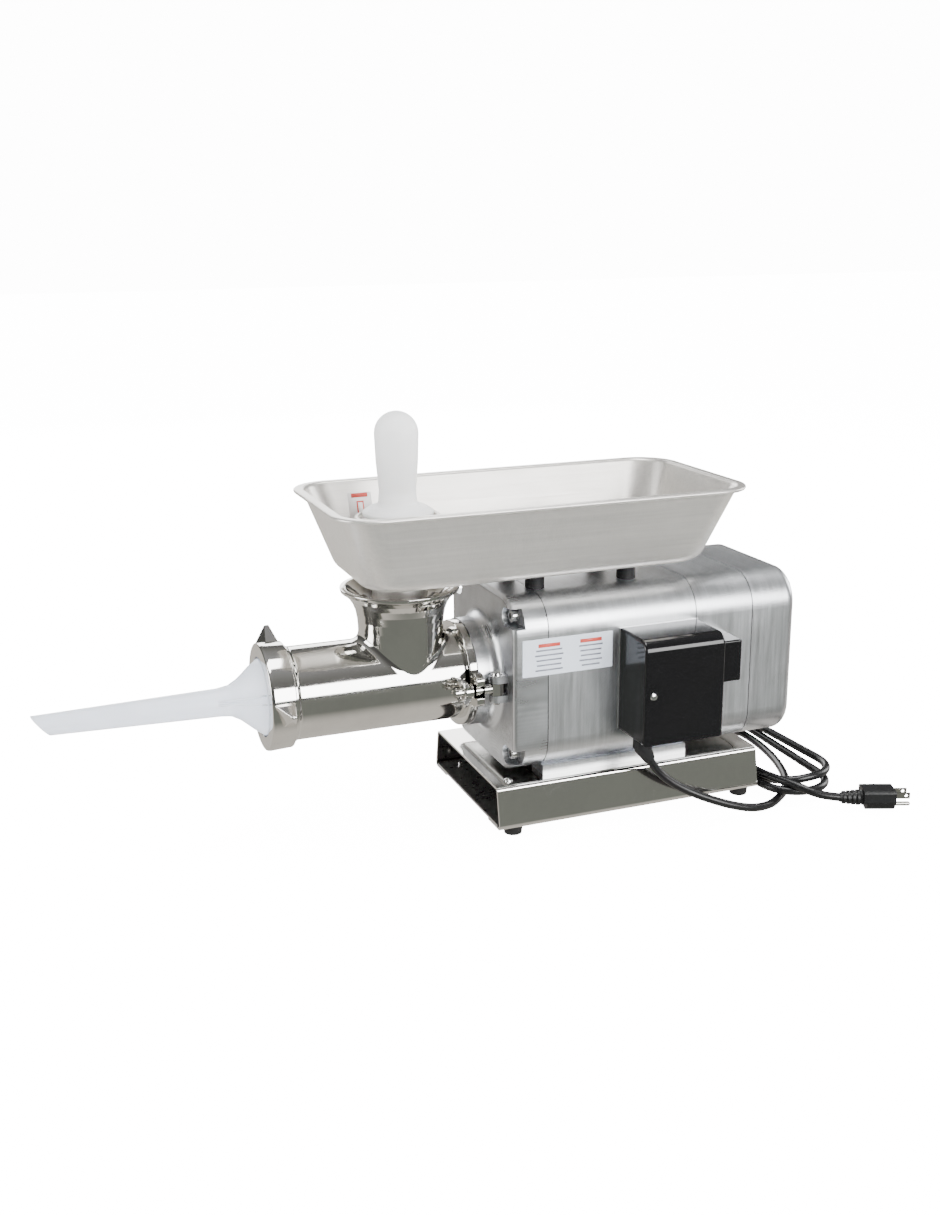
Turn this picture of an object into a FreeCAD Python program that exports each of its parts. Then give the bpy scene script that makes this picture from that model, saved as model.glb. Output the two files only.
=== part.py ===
import FreeCAD, Part
import math
import os
from types import SimpleNamespace
import Sketcher
from FreeCAD import Placement, Rotation, Vector

# An electric meat grinder: a geared motor on a folded base, a clamped grinding head and a food tray.
# Millimetres. +X runs from the grinding head to the motor's rear, +Z is up, and the origin is on
# the bench under the middle of the base. The barrel's axis lies in the plane y = 0.

# name, value, what it is
SIZES = [
    ("axis_height", 156.0, "barrel and output shaft axis above the bench"),
    ("gap", 0.3, "clearance between pieces that move past each other"),
    ("seat_gap", 1.3, "room between a star nut and its flange, so that the bolt swings free"),
    ("running", 0.05, "radial clearance of a running fit"),
    ("base_length", 305.8, "folded base, along X"),
    ("base_top_half", 90.0, "half width of the base at its top"),
    ("base_bottom_half", 97.7, "half width of the base at its bottom"),
    ("base_top", 56.9, "height of the base's top face"),
    ("base_sheet", 2.5, "thickness of the base's sheet"),
    ("base_return", 34.0, "width of the sheet folded in under the base"),
    ("base_bend", 5.0, "outer radius of the base's bends"),
    ("foot_height", 11.8, "rubber foot"),
    ("foot_radius", 10.8, "rubber foot, at its top"),
    ("foot_front", 130.5, "front feet, ahead of the origin"),
    ("foot_rear", 140.5, "rear feet, behind the origin"),
    ("foot_side", 78.0, "feet from the middle plane"),
    ("screw_radius", 2.5, "M5 screw shank"),
    ("screw_head", 4.75, "M5 pan head radius"),
    ("screw_head_height", 3.0, "M5 pan head height"),
    ("motor_front", -133.7, "front face of the gearbox cover"),
    ("cover_length", 37.2, "gearbox cover, along X"),
    ("housing_length", 168.0, "motor housing, along X"),
    ("ring_length", 67.0, "rear housing ring, along X"),
    ("cap_length", 54.8, "rear cap, along X"),
    ("seam", 1.0, "gasket between two housing castings"),
    ("seam_inset", 1.0, "how far a gasket sits below the outside"),
    ("motor_half", 88.8, "half width of the motor body"),
    ("motor_bottom", 63.8, "underside of the motor body"),
    ("motor_top", 250.3, "top of the motor body"),
    ("motor_corner", 36.5, "corner radius of the motor body"),
    ("housing_wall", 4.0, "wall of the motor castings"),
    ("cover_wall", 9.0, "front wall of the gearbox cover"),
    ("cover_edge", 5.0, "rounding round the cover's front face"),
    ("cap_edge", 11.0, "rounding round the cap's rear face"),
    ("boss_radius", 57.0, "round boss that carries the head"),
    ("boss_length", 24.8, "boss, ahead of the cover's face"),
    ("boss_fillet", 12.0, "fillet between boss and cover"),
    ("hub_radius", 34.0, "inner hub of the cover round the output bearings"),
    ("bolt_side", 67.0, "cover bolts from the middle plane"),
    ("bolt_rise", 74.0, "cover bolts above and below the body's middle"),
    ("bolt_radius", 4.0, "M8 cover bolt"),
    ("bolt_head", 6.5, "M8 socket head radius"),
    ("pocket_radius", 9.5, "corner pocket for a cover bolt"),
    ("pocket_depth", 13.0, "depth of a corner pocket"),
    ("mount_bolt_radius", 3.0, "M6 bolt that holds the motor on the base"),
    ("rail_side", 62.0, "middle of a foot rail from the middle plane"),
    ("rail_width", 28.0, "foot rail under the motor housing"),
    ("ear_side", 65.0, "swing bolt axis from the middle plane"),
    ("ear_back", 9.3, "swing bolt pin ahead of the cover's face"),
    ("ear_radius", 8.0, "round end of a clevis ear"),
    ("ear_half", 14.0, "half height of a pair of ears"),
    ("slot_half", 6.5, "half height of the slot between two ears"),
    ("pin_radius", 3.5, "swing bolt pin"),
    ("swing_radius", 5.0, "swing bolt, M10"),
    ("swing_reach", 45.5, "swing bolt from its pin to its tip"),
    ("nut_hub_radius", 8.5, "hub of a star nut"),
    ("nut_hub_length", 11.0, "hub of a star nut"),
    ("nut_wing_radius", 16.3, "tip radius of a star nut's wings"),
    ("nut_wing_thick", 5.0, "thickness of a wing"),
    ("flange_radius", 56.0, "clamping flange of the head"),
    ("flange_thick", 9.0, "clamping flange of the head"),
    ("lug_reach", 73.0, "flange lugs from the axis"),
    ("lug_half", 18.0, "half height of a flange lug"),
    ("notch_half", 6.0, "half height of the notch for a swing bolt"),
    ("barrel_length", 195.2, "barrel ahead of its flange"),
    ("barrel_radius", 47.7, "outside of the barrel"),
    ("barrel_bore", 41.2, "inside of the barrel"),
    ("thread_radius", 50.0, "threaded mouth of the barrel"),
    ("thread_length", 18.0, "threaded mouth of the barrel"),
    ("throat_ahead", 55.5, "throat axis ahead of the flange"),
    ("neck_radius", 44.0, "outside of the throat's neck"),
    ("collar_radius", 61.5, "rim of the throat's collar"),
    ("collar_top", 257.3, "height of the collar's rim"),
    ("throat_bore", 36.5, "inside of the throat's neck"),
    ("collar_bore", 55.0, "inside of the collar at its rim"),
    ("tail_radius", 15.0, "tail of the feed screw"),
    ("tang_half", 6.9, "half width of the feed screw's square tang"),
    ("flight_radius", 40.2, "outside of the feed screw's flight"),
    ("flight_pitch", 44.0, "pitch of the feed screw's flight"),
    ("screw_core", 15.0, "core of the feed screw"),
    ("stud_radius", 5.8, "drive stud at the feed screw's front"),
    ("knife_thick", 8.0, "cross knife hub"),
    ("plate_radius", 41.0, "grinding plate"),
    ("plate_thick", 10.0, "grinding plate"),
    ("plate_hole", 3.2, "radius of a hole in the grinding plate"),
    ("nut_radius", 55.0, "ring nut"),
    ("nut_skirt", 16.0, "ring nut, length over the thread"),
    ("nut_lip", 6.0, "front lip of the ring nut"),
    ("nut_opening", 40.5, "opening in the front lip"),
    ("nut_lug_tip", 73.2, "tip of a ring nut lug from the axis"),
    ("nut_lug_steep", 8.5, "foot of a lug's steep flank from its tip"),
    ("nut_lug_slope", 17.5, "foot of a lug's long flank from its tip"),
    ("nut_lug_thick", 14.0, "thickness of a lug along X"),
    ("nut_lug_turn", 30.0, "degrees that the first lug is turned past the top"),
    ("tube_flange", 3.0, "stuffing tube's flange thickness"),
    ("cone_radius", 38.5, "wide end of the stuffing tube's cone"),
    ("cone_length", 31.0, "cone ahead of the ring nut"),
    ("tube_root", 14.4, "stuffing tube where it leaves the cone"),
    ("tube_tip", 10.3, "stuffing tube at its tip"),
    ("tube_reach", 221.0, "tip of the stuffing tube ahead of the ring nut"),
    ("tube_wall", 1.8, "wall of the stuffing tube"),
    ("tip_slant", 17.0, "how much longer the tube is on top than below"),
    ("tray_front", -312.0, "front end of the tray's rim"),
    ("tray_rear", 131.2, "rear end of the tray's rim"),
    ("tray_half", 111.5, "half width of the tray's rim"),
    ("tray_top", 350.0, "top of the tray's rim"),
    ("tray_bottom", 268.0, "underside of the tray"),
    ("tray_corner", 43.5, "corner radius of the rim"),
    ("tray_slope", 28.0, "how far the tray's wall leans in"),
    ("tray_round", 16.0, "rounding between the tray's floor and walls"),
    ("tray_foot_corner", 33.0, "corner radius of the tray's floor"),
    ("tray_sheet", 1.5, "tray's sheet"),
    ("rim_width", 8.0, "flat rim of the tray"),
    ("rim_height", 4.0, "rolled edge of the rim"),
    ("spout_radius", 28.5, "tray's spout"),
    ("spout_length", 34.0, "spout below the tray"),
    ("post_radius", 10.0, "tray post"),
    ("post_front", -89.5, "front pair of tray posts"),
    ("post_rear", 15.5, "rear pair of tray posts"),
    ("post_side", 38.0, "tray posts from the middle plane"),
    ("guard_radius", 44.0, "feed guard ring"),
    ("guard_top", 330.0, "top of the feed guard ring"),
    ("guard_rod", 2.5, "radius of the guard's rod"),
    ("guard_leg", 2.2, "radius of a leg of the guard"),
    ("pusher_radius", 23.5, "pusher's shaft"),
    ("pusher_disc", 36.0, "pusher's disc"),
    ("pusher_bottom", 214.0, "lower end of the pusher"),
    ("pusher_top", 434.7, "top of the pusher's knob"),
    ("pusher_neck", 18.5, "pusher's handle above the disc"),
    ("pusher_knob", 22.5, "pusher's knob"),
    ("box_front", -16.5, "switch box, end towards the head"),
    ("box_length", 91.0, "switch box, along X"),
    ("box_depth", 58.2, "switch box, out from the motor body"),
    ("box_bottom", 102.0, "underside of the switch box"),
    ("box_top", 212.0, "top of the switch box"),
    ("box_wall", 2.0, "wall of the switch box"),
    ("box_edge", 13.0, "rounding of the box's upper front edge"),
    ("side_box_length", 33.0, "small box, along X"),
    ("side_box_depth", 36.0, "small box, out from the motor body"),
    ("side_box_bottom", 150.5, "underside of the small box"),
    ("side_box_top", 195.0, "top of the small box"),
    ("rocker_height", 21.0, "rocker, top to bottom"),
    ("rocker_width", 15.0, "rocker, across"),
    ("button_radius", 6.0, "reset button"),
    ("button_proud", 4.5, "reset button stands out by"),
    ("gland_x", -1.5, "cable gland"),
    ("gland_side", 116.5, "cable gland from the middle plane"),
    ("gland_radius", 10.0, "cable gland"),
    ("relief_length", 16.0, "tapered relief below the gland"),
    ("cord_radius", 4.5, "power cord"),
    ("coil_side", 36.0, "loose loops, half width to the cord's middle"),
    ("coil_height", 33.0, "loose loops, height of the pile"),
    ("bulkhead", 12.0, "wall between gearbox and motor"),
    ("gear_face", 22.0, "output gear, along X"),
    ("fast_gear_face", 15.0, "layshaft gear, along X"),
    ("shaft_radius", 8.5, "motor shaft"),
    ("layshaft_radius", 7.5, "layshaft"),
    ("output_radius", 12.5, "output shaft"),
    ("bearing_width", 15.0, "output bearing"),
    ("bearing_radius", 26.0, "output bearing, outside"),
    ("motor_bearing_radius", 20.0, "motor bearing, outside"),
    ("lay_bearing_radius", 17.5, "layshaft bearing, outside"),
    ("stator_radius", 78.0, "stator core"),
    ("stator_length", 75.0, "stator core"),
    ("rotor_radius", 37.0, "rotor core"),
    ("air_gap", 0.6, "between rotor and stator"),
    ("fan_radius", 66.0, "cooling fan"),
]

# The two gear stages share one centre distance, so the layshaft lies beside the common axis of
# the motor shaft and the output shaft.
FAST_MODULE = 1.5
SLOW_MODULE = 2.0
FAST_TEETH = (15, 49)
SLOW_TEETH = (14, 34)
LAYSHAFT_ANGLE = -45.0
PRESSURE_ANGLE = 25.0
BACKLASH = 0.25

doc = FreeCAD.newDocument("meat_grinder")
sheet = doc.addObject("Spreadsheet::Sheet", "Sizes")
pieces = {}


class Size:
    """A length that carries the spreadsheet formula it comes from."""

    def __init__(self, value, formula):
        self.value = value
        self.formula = formula

    def joined(self, other, sign, value, other_first=False):
        pair = (formula_of(other), self.formula) if other_first else (self.formula, formula_of(other))
        return Size(value, f"({pair[0]} {sign} {pair[1]})")

    def __float__(self):
        return float(self.value)

    def __add__(self, other):
        return self.joined(other, "+", self.value + float(other))

    def __radd__(self, other):
        return self.joined(other, "+", float(other) + self.value, True)

    def __sub__(self, other):
        return self.joined(other, "-", self.value - float(other))

    def __rsub__(self, other):
        return self.joined(other, "-", float(other) - self.value, True)

    def __mul__(self, other):
        return self.joined(other, "*", self.value * float(other))

    def __rmul__(self, other):
        return self.joined(other, "*", float(other) * self.value, True)

    def __truediv__(self, other):
        return self.joined(other, "/", self.value / float(other))

    def __neg__(self):
        return Size(-self.value, f"(0 - {self.formula})")


def formula_of(amount):
    return amount.formula if isinstance(amount, Size) else repr(float(amount))


def read_sizes():
    """Fills the sheet, and returns every size by its name."""
    named = {}
    for row, (name, value, note) in enumerate(SIZES, 1):
        sheet.set(f"A{row}", name)
        sheet.set(f"B{row}", str(value))
        sheet.setAlias(f"B{row}", name)
        sheet.set(f"C{row}", note)
        named[name] = Size(value, f"Sizes.{name}")
    doc.recompute()
    return SimpleNamespace(**named)


S = read_sizes()


# ---------------------------------------------------------------- tools of the trade
AXES = {
    "x": Rotation(Vector(0, 1, 0), 90),
    "y": Rotation(Vector(1, 0, 0), -90),
    "z": Rotation(),
}


def point(at):
    return Vector(*[float(value) for value in at])


def place(item, at, turn=None):
    """Puts an object at a point whose coordinates stay tied to the sheet."""
    item.Placement = Placement(point(at), turn or Rotation())
    for name, value in zip("xyz", at):
        if isinstance(value, Size):
            item.setExpression(f"Placement.Base.{name}", value.formula)
    return item


def bind(item, **amounts):
    for name, value in amounts.items():
        setattr(item, name, float(value))
        if isinstance(value, Size):
            item.setExpression(name, value.formula)
    return item


def keep(item, name=None):
    """Marks an object as a piece of the grinder: its label is its file's name."""
    item.Label = name or item.Name
    pieces[item.Label] = item
    return item


def cylinder(name, radius, length, at, axis="x"):
    item = doc.addObject("Part::Cylinder", name)
    return place(bind(item, Radius=radius, Height=length), at, AXES[axis])


def cone(name, radius, far_radius, length, at, axis="x"):
    item = doc.addObject("Part::Cone", name)
    return place(bind(item, Radius1=radius, Radius2=far_radius, Height=length), at, AXES[axis])


def box(name, low, high):
    item = doc.addObject("Part::Box", name)
    spans = [far - near for near, far in zip(low, high)]
    return place(bind(item, Length=spans[0], Width=spans[1], Height=spans[2]), low)


def fuse(name, *items):
    item = doc.addObject("Part::MultiFuse", name)
    item.Shapes = list(items)
    item.Refine = True
    return item


def cut(name, base, *tools):
    item = doc.addObject("Part::Cut", name)
    item.Base = base
    item.Tool = tools[0] if len(tools) == 1 else fuse(f"{name}_tools", *tools)
    return item


def together(name, items):
    """Several separate solids that make one node, such as a set of screws."""
    item = doc.addObject("Part::Compound", name)
    item.Links = list(items)
    return item


def shaped(name, shape, at=(0, 0, 0), turn=None):
    """A piece whose shape is worked out here, where no feature makes it."""
    item = doc.addObject("Part::Feature", name)
    item.Shape = shape
    return place(item, at, turn)


def edges_where(item, chosen):
    """Numbers of the edges for which chosen(edge) is true."""
    doc.recompute()
    found = [number for number, edge in enumerate(item.Shape.Edges, 1) if chosen(edge)]
    if not found:
        raise RuntimeError(f"{item.Name}: no edge to round")
    return found


def rounded(name, base, radius, chosen):
    """A Part::Fillet on the chosen edges."""
    item = doc.addObject("Part::Fillet", name)
    item.Base = base
    item.Edges = [(number, float(radius), float(radius)) for number in edges_where(base, chosen)]
    return item


def new_body(name, at=(0, 0, 0), turn=None):
    return place(doc.addObject("PartDesign::Body", name), at, turn)


def sketch_on(body, name, role, offset=0.0):
    """An empty sketch on one of the body's own origin planes, moved along its normal."""
    sketch = body.newObject("Sketcher::SketchObject", name)
    plane = next(item for item in body.Origin.OriginFeatures if item.Role == role)
    sketch.AttachmentSupport = [(plane, "")]
    sketch.MapMode = "FlatFace"
    sketch.AttachmentOffset = Placement(Vector(0, 0, float(offset)), Rotation())
    if isinstance(offset, Size):
        sketch.setExpression("AttachmentOffset.Base.z", offset.formula)
    return sketch


def fix(sketch, kind, place_of, amount):
    """One dimension of a sketch, tied to the sheet where its amount comes from there."""
    number = sketch.addConstraint(Sketcher.Constraint(kind, *place_of, float(amount)))
    if isinstance(amount, Size):
        sketch.setExpression(f"Constraints[{number}]", amount.formula)


def flat(pair):
    return Vector(float(pair[0]), float(pair[1]), 0)


def draw_polygon(sketch, points):
    """Straight lines through the points, each corner fixed by its two coordinates."""
    first = sketch.GeometryCount
    count = len(points)
    for number in range(count):
        line = Part.LineSegment(flat(points[number]), flat(points[(number + 1) % count]))
        sketch.addGeometry(line, False)
    for number in range(count):
        here = first + number
        following = first + (number + 1) % count
        sketch.addConstraint(Sketcher.Constraint("Coincident", here, 2, following, 1))
        fix(sketch, "DistanceX", (here, 1), points[number][0])
        fix(sketch, "DistanceY", (here, 1), points[number][1])


def draw_rounded_rectangle(sketch, low, high, radius):
    """Four straight sides joined by quarter circles."""
    first = sketch.GeometryCount
    corners = [(low[0], low[1], 180), (high[0], low[1], 270), (high[0], high[1], 0), (low[0], high[1], 90)]
    ends = []
    for number, (across, up, start) in enumerate(corners):
        centre_x = across + radius if number in (0, 3) else across - radius
        centre_y = up + radius if number in (0, 1) else up - radius
        beside = (across, centre_y)
        above = (centre_x, up)
        ends.append((beside, above) if number in (0, 2) else (above, beside))
        circle = Part.Circle(flat((centre_x, centre_y)), Vector(0, 0, 1), float(radius))
        arc = Part.ArcOfCircle(circle, math.radians(start), math.radians(start + 90))
        sketch.addGeometry(arc, False)
    for number in range(4):
        line = Part.LineSegment(flat(ends[number][1]), flat(ends[(number + 1) % 4][0]))
        sketch.addGeometry(line, False)
    for number in range(4):
        line = first + 4 + number
        following = first + (number + 1) % 4
        sketch.addConstraint(Sketcher.Constraint("Coincident", line, 1, first + number, 2))
        sketch.addConstraint(Sketcher.Constraint("Coincident", line, 2, following, 1))
        for side, corner in ((1, ends[number][1]), (2, ends[(number + 1) % 4][0])):
            fix(sketch, "DistanceX", (line, side), corner[0])
            fix(sketch, "DistanceY", (line, side), corner[1])
        fix(sketch, "Radius", (first + number,), radius)


def draw_circle(sketch, centre, radius):
    circle = Part.Circle(flat(centre), Vector(0, 0, 1), float(radius))
    number = sketch.addGeometry(circle, False)
    fix(sketch, "DistanceX", (number, 3), centre[0])
    fix(sketch, "DistanceY", (number, 3), centre[1])
    fix(sketch, "Radius", (number,), radius)


def pad(body, sketch, length, midplane=False, reverse=False):
    item = body.newObject("PartDesign::Pad", f"{sketch.Name}_pad")
    item.Profile = sketch
    bind(item, Length=length)
    item.Midplane = midplane
    item.Reversed = reverse
    return item


def pocket(body, sketch, length, midplane=False, reverse=False):
    """A pocket that must take something away."""
    doc.recompute()
    before = body.Shape.Volume
    item = body.newObject("PartDesign::Pocket", f"{sketch.Name}_pocket")
    item.Profile = sketch
    bind(item, Length=length)
    item.Midplane = midplane
    item.Reversed = reverse
    doc.recompute()
    if not body.Shape.Volume < before:
        raise RuntimeError(f"{item.Name} cuts nothing")
    return item


def pattern(body, features, count, axis_role):
    """Copies features round one of the body's own axes."""
    item = body.newObject("PartDesign::PolarPattern", f"{features[0].Name}_pattern")
    item.Originals = features
    axis = next(line for line in body.Origin.OriginFeatures if line.Role == axis_role)
    item.Axis = (axis, [""])
    item.Angle = 360
    item.Occurrences = count
    body.Tip = item
    return item


def soften(body, radius, chosen):
    """A PartDesign fillet on the chosen edges of the body."""
    numbers = edges_where(body, chosen)
    base = body.Tip
    item = body.newObject("PartDesign::Fillet", f"{body.Name}_fillet_{len(body.Group)}")
    item.Base = (base, [f"Edge{number}" for number in numbers])
    bind(item, Radius=radius)
    body.Tip = item
    return item


def turned(name, outline, at=(0, 0, 0), axis="x", turn=None):
    """A body turned on a lathe: outline holds (along, radius) points."""
    body = new_body(name, at, turn)
    sketch = sketch_on(body, f"{name}_outline", "XZ_Plane")
    draw_polygon(sketch, outline if axis == "x" else [(radius, along) for along, radius in outline])
    spin = body.newObject("PartDesign::Revolution", f"{name}_turning")
    spin.Profile = sketch
    spin.ReferenceAxis = (sketch, ["H_Axis" if axis == "x" else "V_Axis"])
    spin.Angle = 360
    return body


def on_axis(along):
    """A point of the barrel's axis."""
    return (along, 0.0, S.axis_height)


def ring(name, outer, inner, start, length, across=0.0, up=None):
    """A plain ring along X, such as a bearing."""
    height = S.axis_height if up is None else up
    body = new_body(name, (start, across, height))
    sketch = sketch_on(body, f"{name}_section", "YZ_Plane")
    draw_circle(sketch, (0.0, 0.0), outer)
    draw_circle(sketch, (0.0, 0.0), inner)
    pad(body, sketch, length)
    return body


def spread(edge, axis):
    """How far an edge reaches along X, Y or Z."""
    bounds = edge.BoundBox
    return (bounds.XLength, bounds.YLength, bounds.ZLength)["xyz".index(axis)]


# ---------------------------------------------------------------- where the groups of pieces are
COVER_BACK = S.motor_front + S.cover_length
HOUSING_START = COVER_BACK + S.seam
HOUSING_END = HOUSING_START + S.housing_length
RING_START = HOUSING_END + S.seam
RING_END = RING_START + S.ring_length
CAP_START = RING_END + S.seam
CAP_END = CAP_START + S.cap_length
MOTOR_MIDDLE = (S.motor_bottom + S.motor_top) / 2
BOSS_FRONT = S.motor_front - S.boss_length
FLANGE_FRONT = BOSS_FRONT - S.flange_thick
BARREL_FRONT = FLANGE_FRONT - S.barrel_length
THROAT_X = FLANGE_FRONT - S.throat_ahead
NUT_LIP_BACK = BARREL_FRONT - S.tube_flange - 2 * S.gap
NUT_FRONT = NUT_LIP_BACK - S.nut_lip
NUT_BACK = BARREL_FRONT + S.nut_skirt
PIN_X = S.motor_front - S.ear_back
PLATE_BACK = BARREL_FRONT + S.plate_thick
KNIFE_BACK = PLATE_BACK + S.gap + S.knife_thick
OUTPUT_GEAR_START = COVER_BACK - 15.0
FAST_GEAR_START = OUTPUT_GEAR_START + S.gear_face + 6.5
BULKHEAD_START = FAST_GEAR_START + S.fast_gear_face + 4.5
BULKHEAD_END = BULKHEAD_START + S.bulkhead
STATOR_START = BULKHEAD_END + 40.0
REAR_BEARING_START = RING_START + 46.0
FAN_START = CAP_START + 8.0
CENTRE_DISTANCE = FAST_MODULE * sum(FAST_TEETH) / 2
LAYSHAFT_Y = CENTRE_DISTANCE * math.cos(math.radians(LAYSHAFT_ANGLE)) * -1
LAYSHAFT_Z = S.axis_height + CENTRE_DISTANCE * math.sin(math.radians(LAYSHAFT_ANGLE))
BOX_END = S.box_front + S.box_length
BOX_BACK = -S.motor_half - S.box_wall
BOX_FACE = -S.motor_half - S.box_depth
SIDE_BOX_END = BOX_END + S.side_box_length
MOUNT_BOLT_PLACES = [
    (x, side * S.rail_side) for x in (HOUSING_START + 20.0, HOUSING_END - 20.0) for side in (-1, 1)
]
RELIEF_DIRECTION = (0.5, -0.05, -0.865)
FOOT_PLACES = [(x, y) for x in (-S.foot_front, S.foot_rear) for y in (-S.foot_side, S.foot_side)]


# ---------------------------------------------------------------- base
def make_base():
    """A sheet folded round into a flat tube that is open at both ends."""
    foot_line = S.foot_height
    inner_low = foot_line + S.base_sheet
    inner_top = S.base_top - S.base_sheet
    inner_bottom_half = S.base_bottom_half - S.base_sheet
    inner_top_half = S.base_top_half - S.base_sheet
    lip = S.base_bottom_half - S.base_return
    half = [
        (lip, foot_line), (S.base_bottom_half, foot_line), (S.base_top_half, S.base_top),
    ]
    inner = [(inner_top_half, inner_top), (inner_bottom_half, inner_low), (lip, inner_low)]
    outline = half + [(-y, z) for y, z in reversed(half)]
    outline += [(-y, z) for y, z in reversed(inner)] + inner
    body = new_body("base_channel", (-S.base_length / 2, 0.0, 0.0))
    sketch = sketch_on(body, "base_section", "YZ_Plane")
    draw_polygon(sketch, outline)
    pad(body, sketch, S.base_length)
    length = float(S.base_length)
    outside = (float(S.base_top), float(S.foot_height))

    def bend(edge):
        middle = edge.CenterOfMass
        far = abs(middle.y) > float(S.base_top_half) - 1
        return spread(edge, "x") > length - 1 and far and min(abs(middle.z - z) for z in outside) < 0.1

    def inside_bend(edge):
        middle = edge.CenterOfMass
        depth = float(S.base_sheet)
        levels = (outside[0] - depth, outside[1] + depth)
        far = abs(middle.y) > float(S.base_top_half) - 2 * depth
        return spread(edge, "x") > length - 1 and far and min(abs(middle.z - z) for z in levels) < 0.1

    soften(body, S.base_bend, bend)
    soften(body, S.base_bend - S.base_sheet, inside_bend)
    clear = S.screw_radius + S.gap
    holes = sketch_on(body, "base_foot_holes", "XY_Plane")
    for x, y in FOOT_PLACES:
        draw_circle(holes, (x + S.base_length / 2, y), clear)
    pocket(body, holes, inner_low + 1.0, reverse=True)
    top_holes = sketch_on(body, "base_bolt_holes", "XY_Plane", S.base_top + 1.0)
    for x, y in MOUNT_BOLT_PLACES:
        draw_circle(top_holes, (x + S.base_length / 2, y), S.mount_bolt_radius + S.gap)
    pocket(body, top_holes, S.base_sheet + 2.0)
    keep(body)

    floor = S.foot_height + S.base_sheet
    plate_half = S.base_bottom_half - S.base_bend - S.base_sheet
    low = (-S.base_length / 2, -plate_half, floor)
    plate = box("bottom_plate_blank", low, (S.base_length / 2, plate_half, floor + S.base_sheet))
    drills = [
        cylinder(f"plate_drill_{number}", clear, S.base_sheet + 2.0, (x, y, floor - 1.0), "z")
        for number, (x, y) in enumerate(FOOT_PLACES)
    ]
    keep(cut("base_bottom_plate", plate, *drills))


def make_feet():
    """Rubber feet with their screws, which come up through the base."""
    feet = []
    screws = []
    for number, (x, y) in enumerate(FOOT_PLACES):
        bore = S.screw_radius + S.gap
        recess = S.screw_head + 0.5
        seat = S.screw_head_height + 2.0
        outline = [
            (0.0, recess), (0.0, S.foot_radius - 1.5), (S.foot_height, S.foot_radius),
            (S.foot_height, bore), (seat, bore), (seat, recess),
        ]
        feet.append(turned(f"foot_{number}", outline, (x, y, 0.0), "z"))
        head = [
            (2.0, 0.0), (2.0, S.screw_head - 1.0), (3.0, S.screw_head), (seat, S.screw_head),
            (seat, S.screw_radius), (S.foot_height + 3 * S.base_sheet, S.screw_radius),
            (S.foot_height + 3 * S.base_sheet, 0.0),
        ]
        screws.append(turned(f"foot_screw_{number}", head, (x, y, 0.0), "z"))
    keep(together("rubber_feet", feet))
    keep(together("foot_screws", screws))
    dome = [
        (0.0, 0.0), (0.0, S.screw_head), (1.6, S.screw_head - 0.8),
        (S.screw_head_height, 2.0), (S.screw_head_height, 0.0),
    ]
    keep(turned("base_screw", dome, (S.motor_front - 0.8, -75.0, S.base_top), "z"))


# ---------------------------------------------------------------- motor body
def body_section(name, start, length, inset=0.0, wall=None):
    """A length of the motor body's rounded section, hollow where a wall is given."""
    body = new_body(name, (start, 0.0, 0.0))
    low = (-S.motor_half + inset, S.motor_bottom + inset)
    high = (S.motor_half - inset, S.motor_top - inset)
    sketch = sketch_on(body, f"{name}_section", "YZ_Plane")
    draw_rounded_rectangle(sketch, low, high, S.motor_corner - inset)
    if wall is not None:
        low = tuple(value + wall for value in low)
        high = tuple(value - wall for value in high)
        draw_rounded_rectangle(sketch, low, high, S.motor_corner - inset - wall)
    pad(body, sketch, length)
    return body


def bolt_places():
    """Middles of the four cover bolts, as (y, z)."""
    return [(side * S.bolt_side, MOTOR_MIDDLE + rise * S.bolt_rise) for side in (-1, 1) for rise in (-1, 1)]


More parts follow.
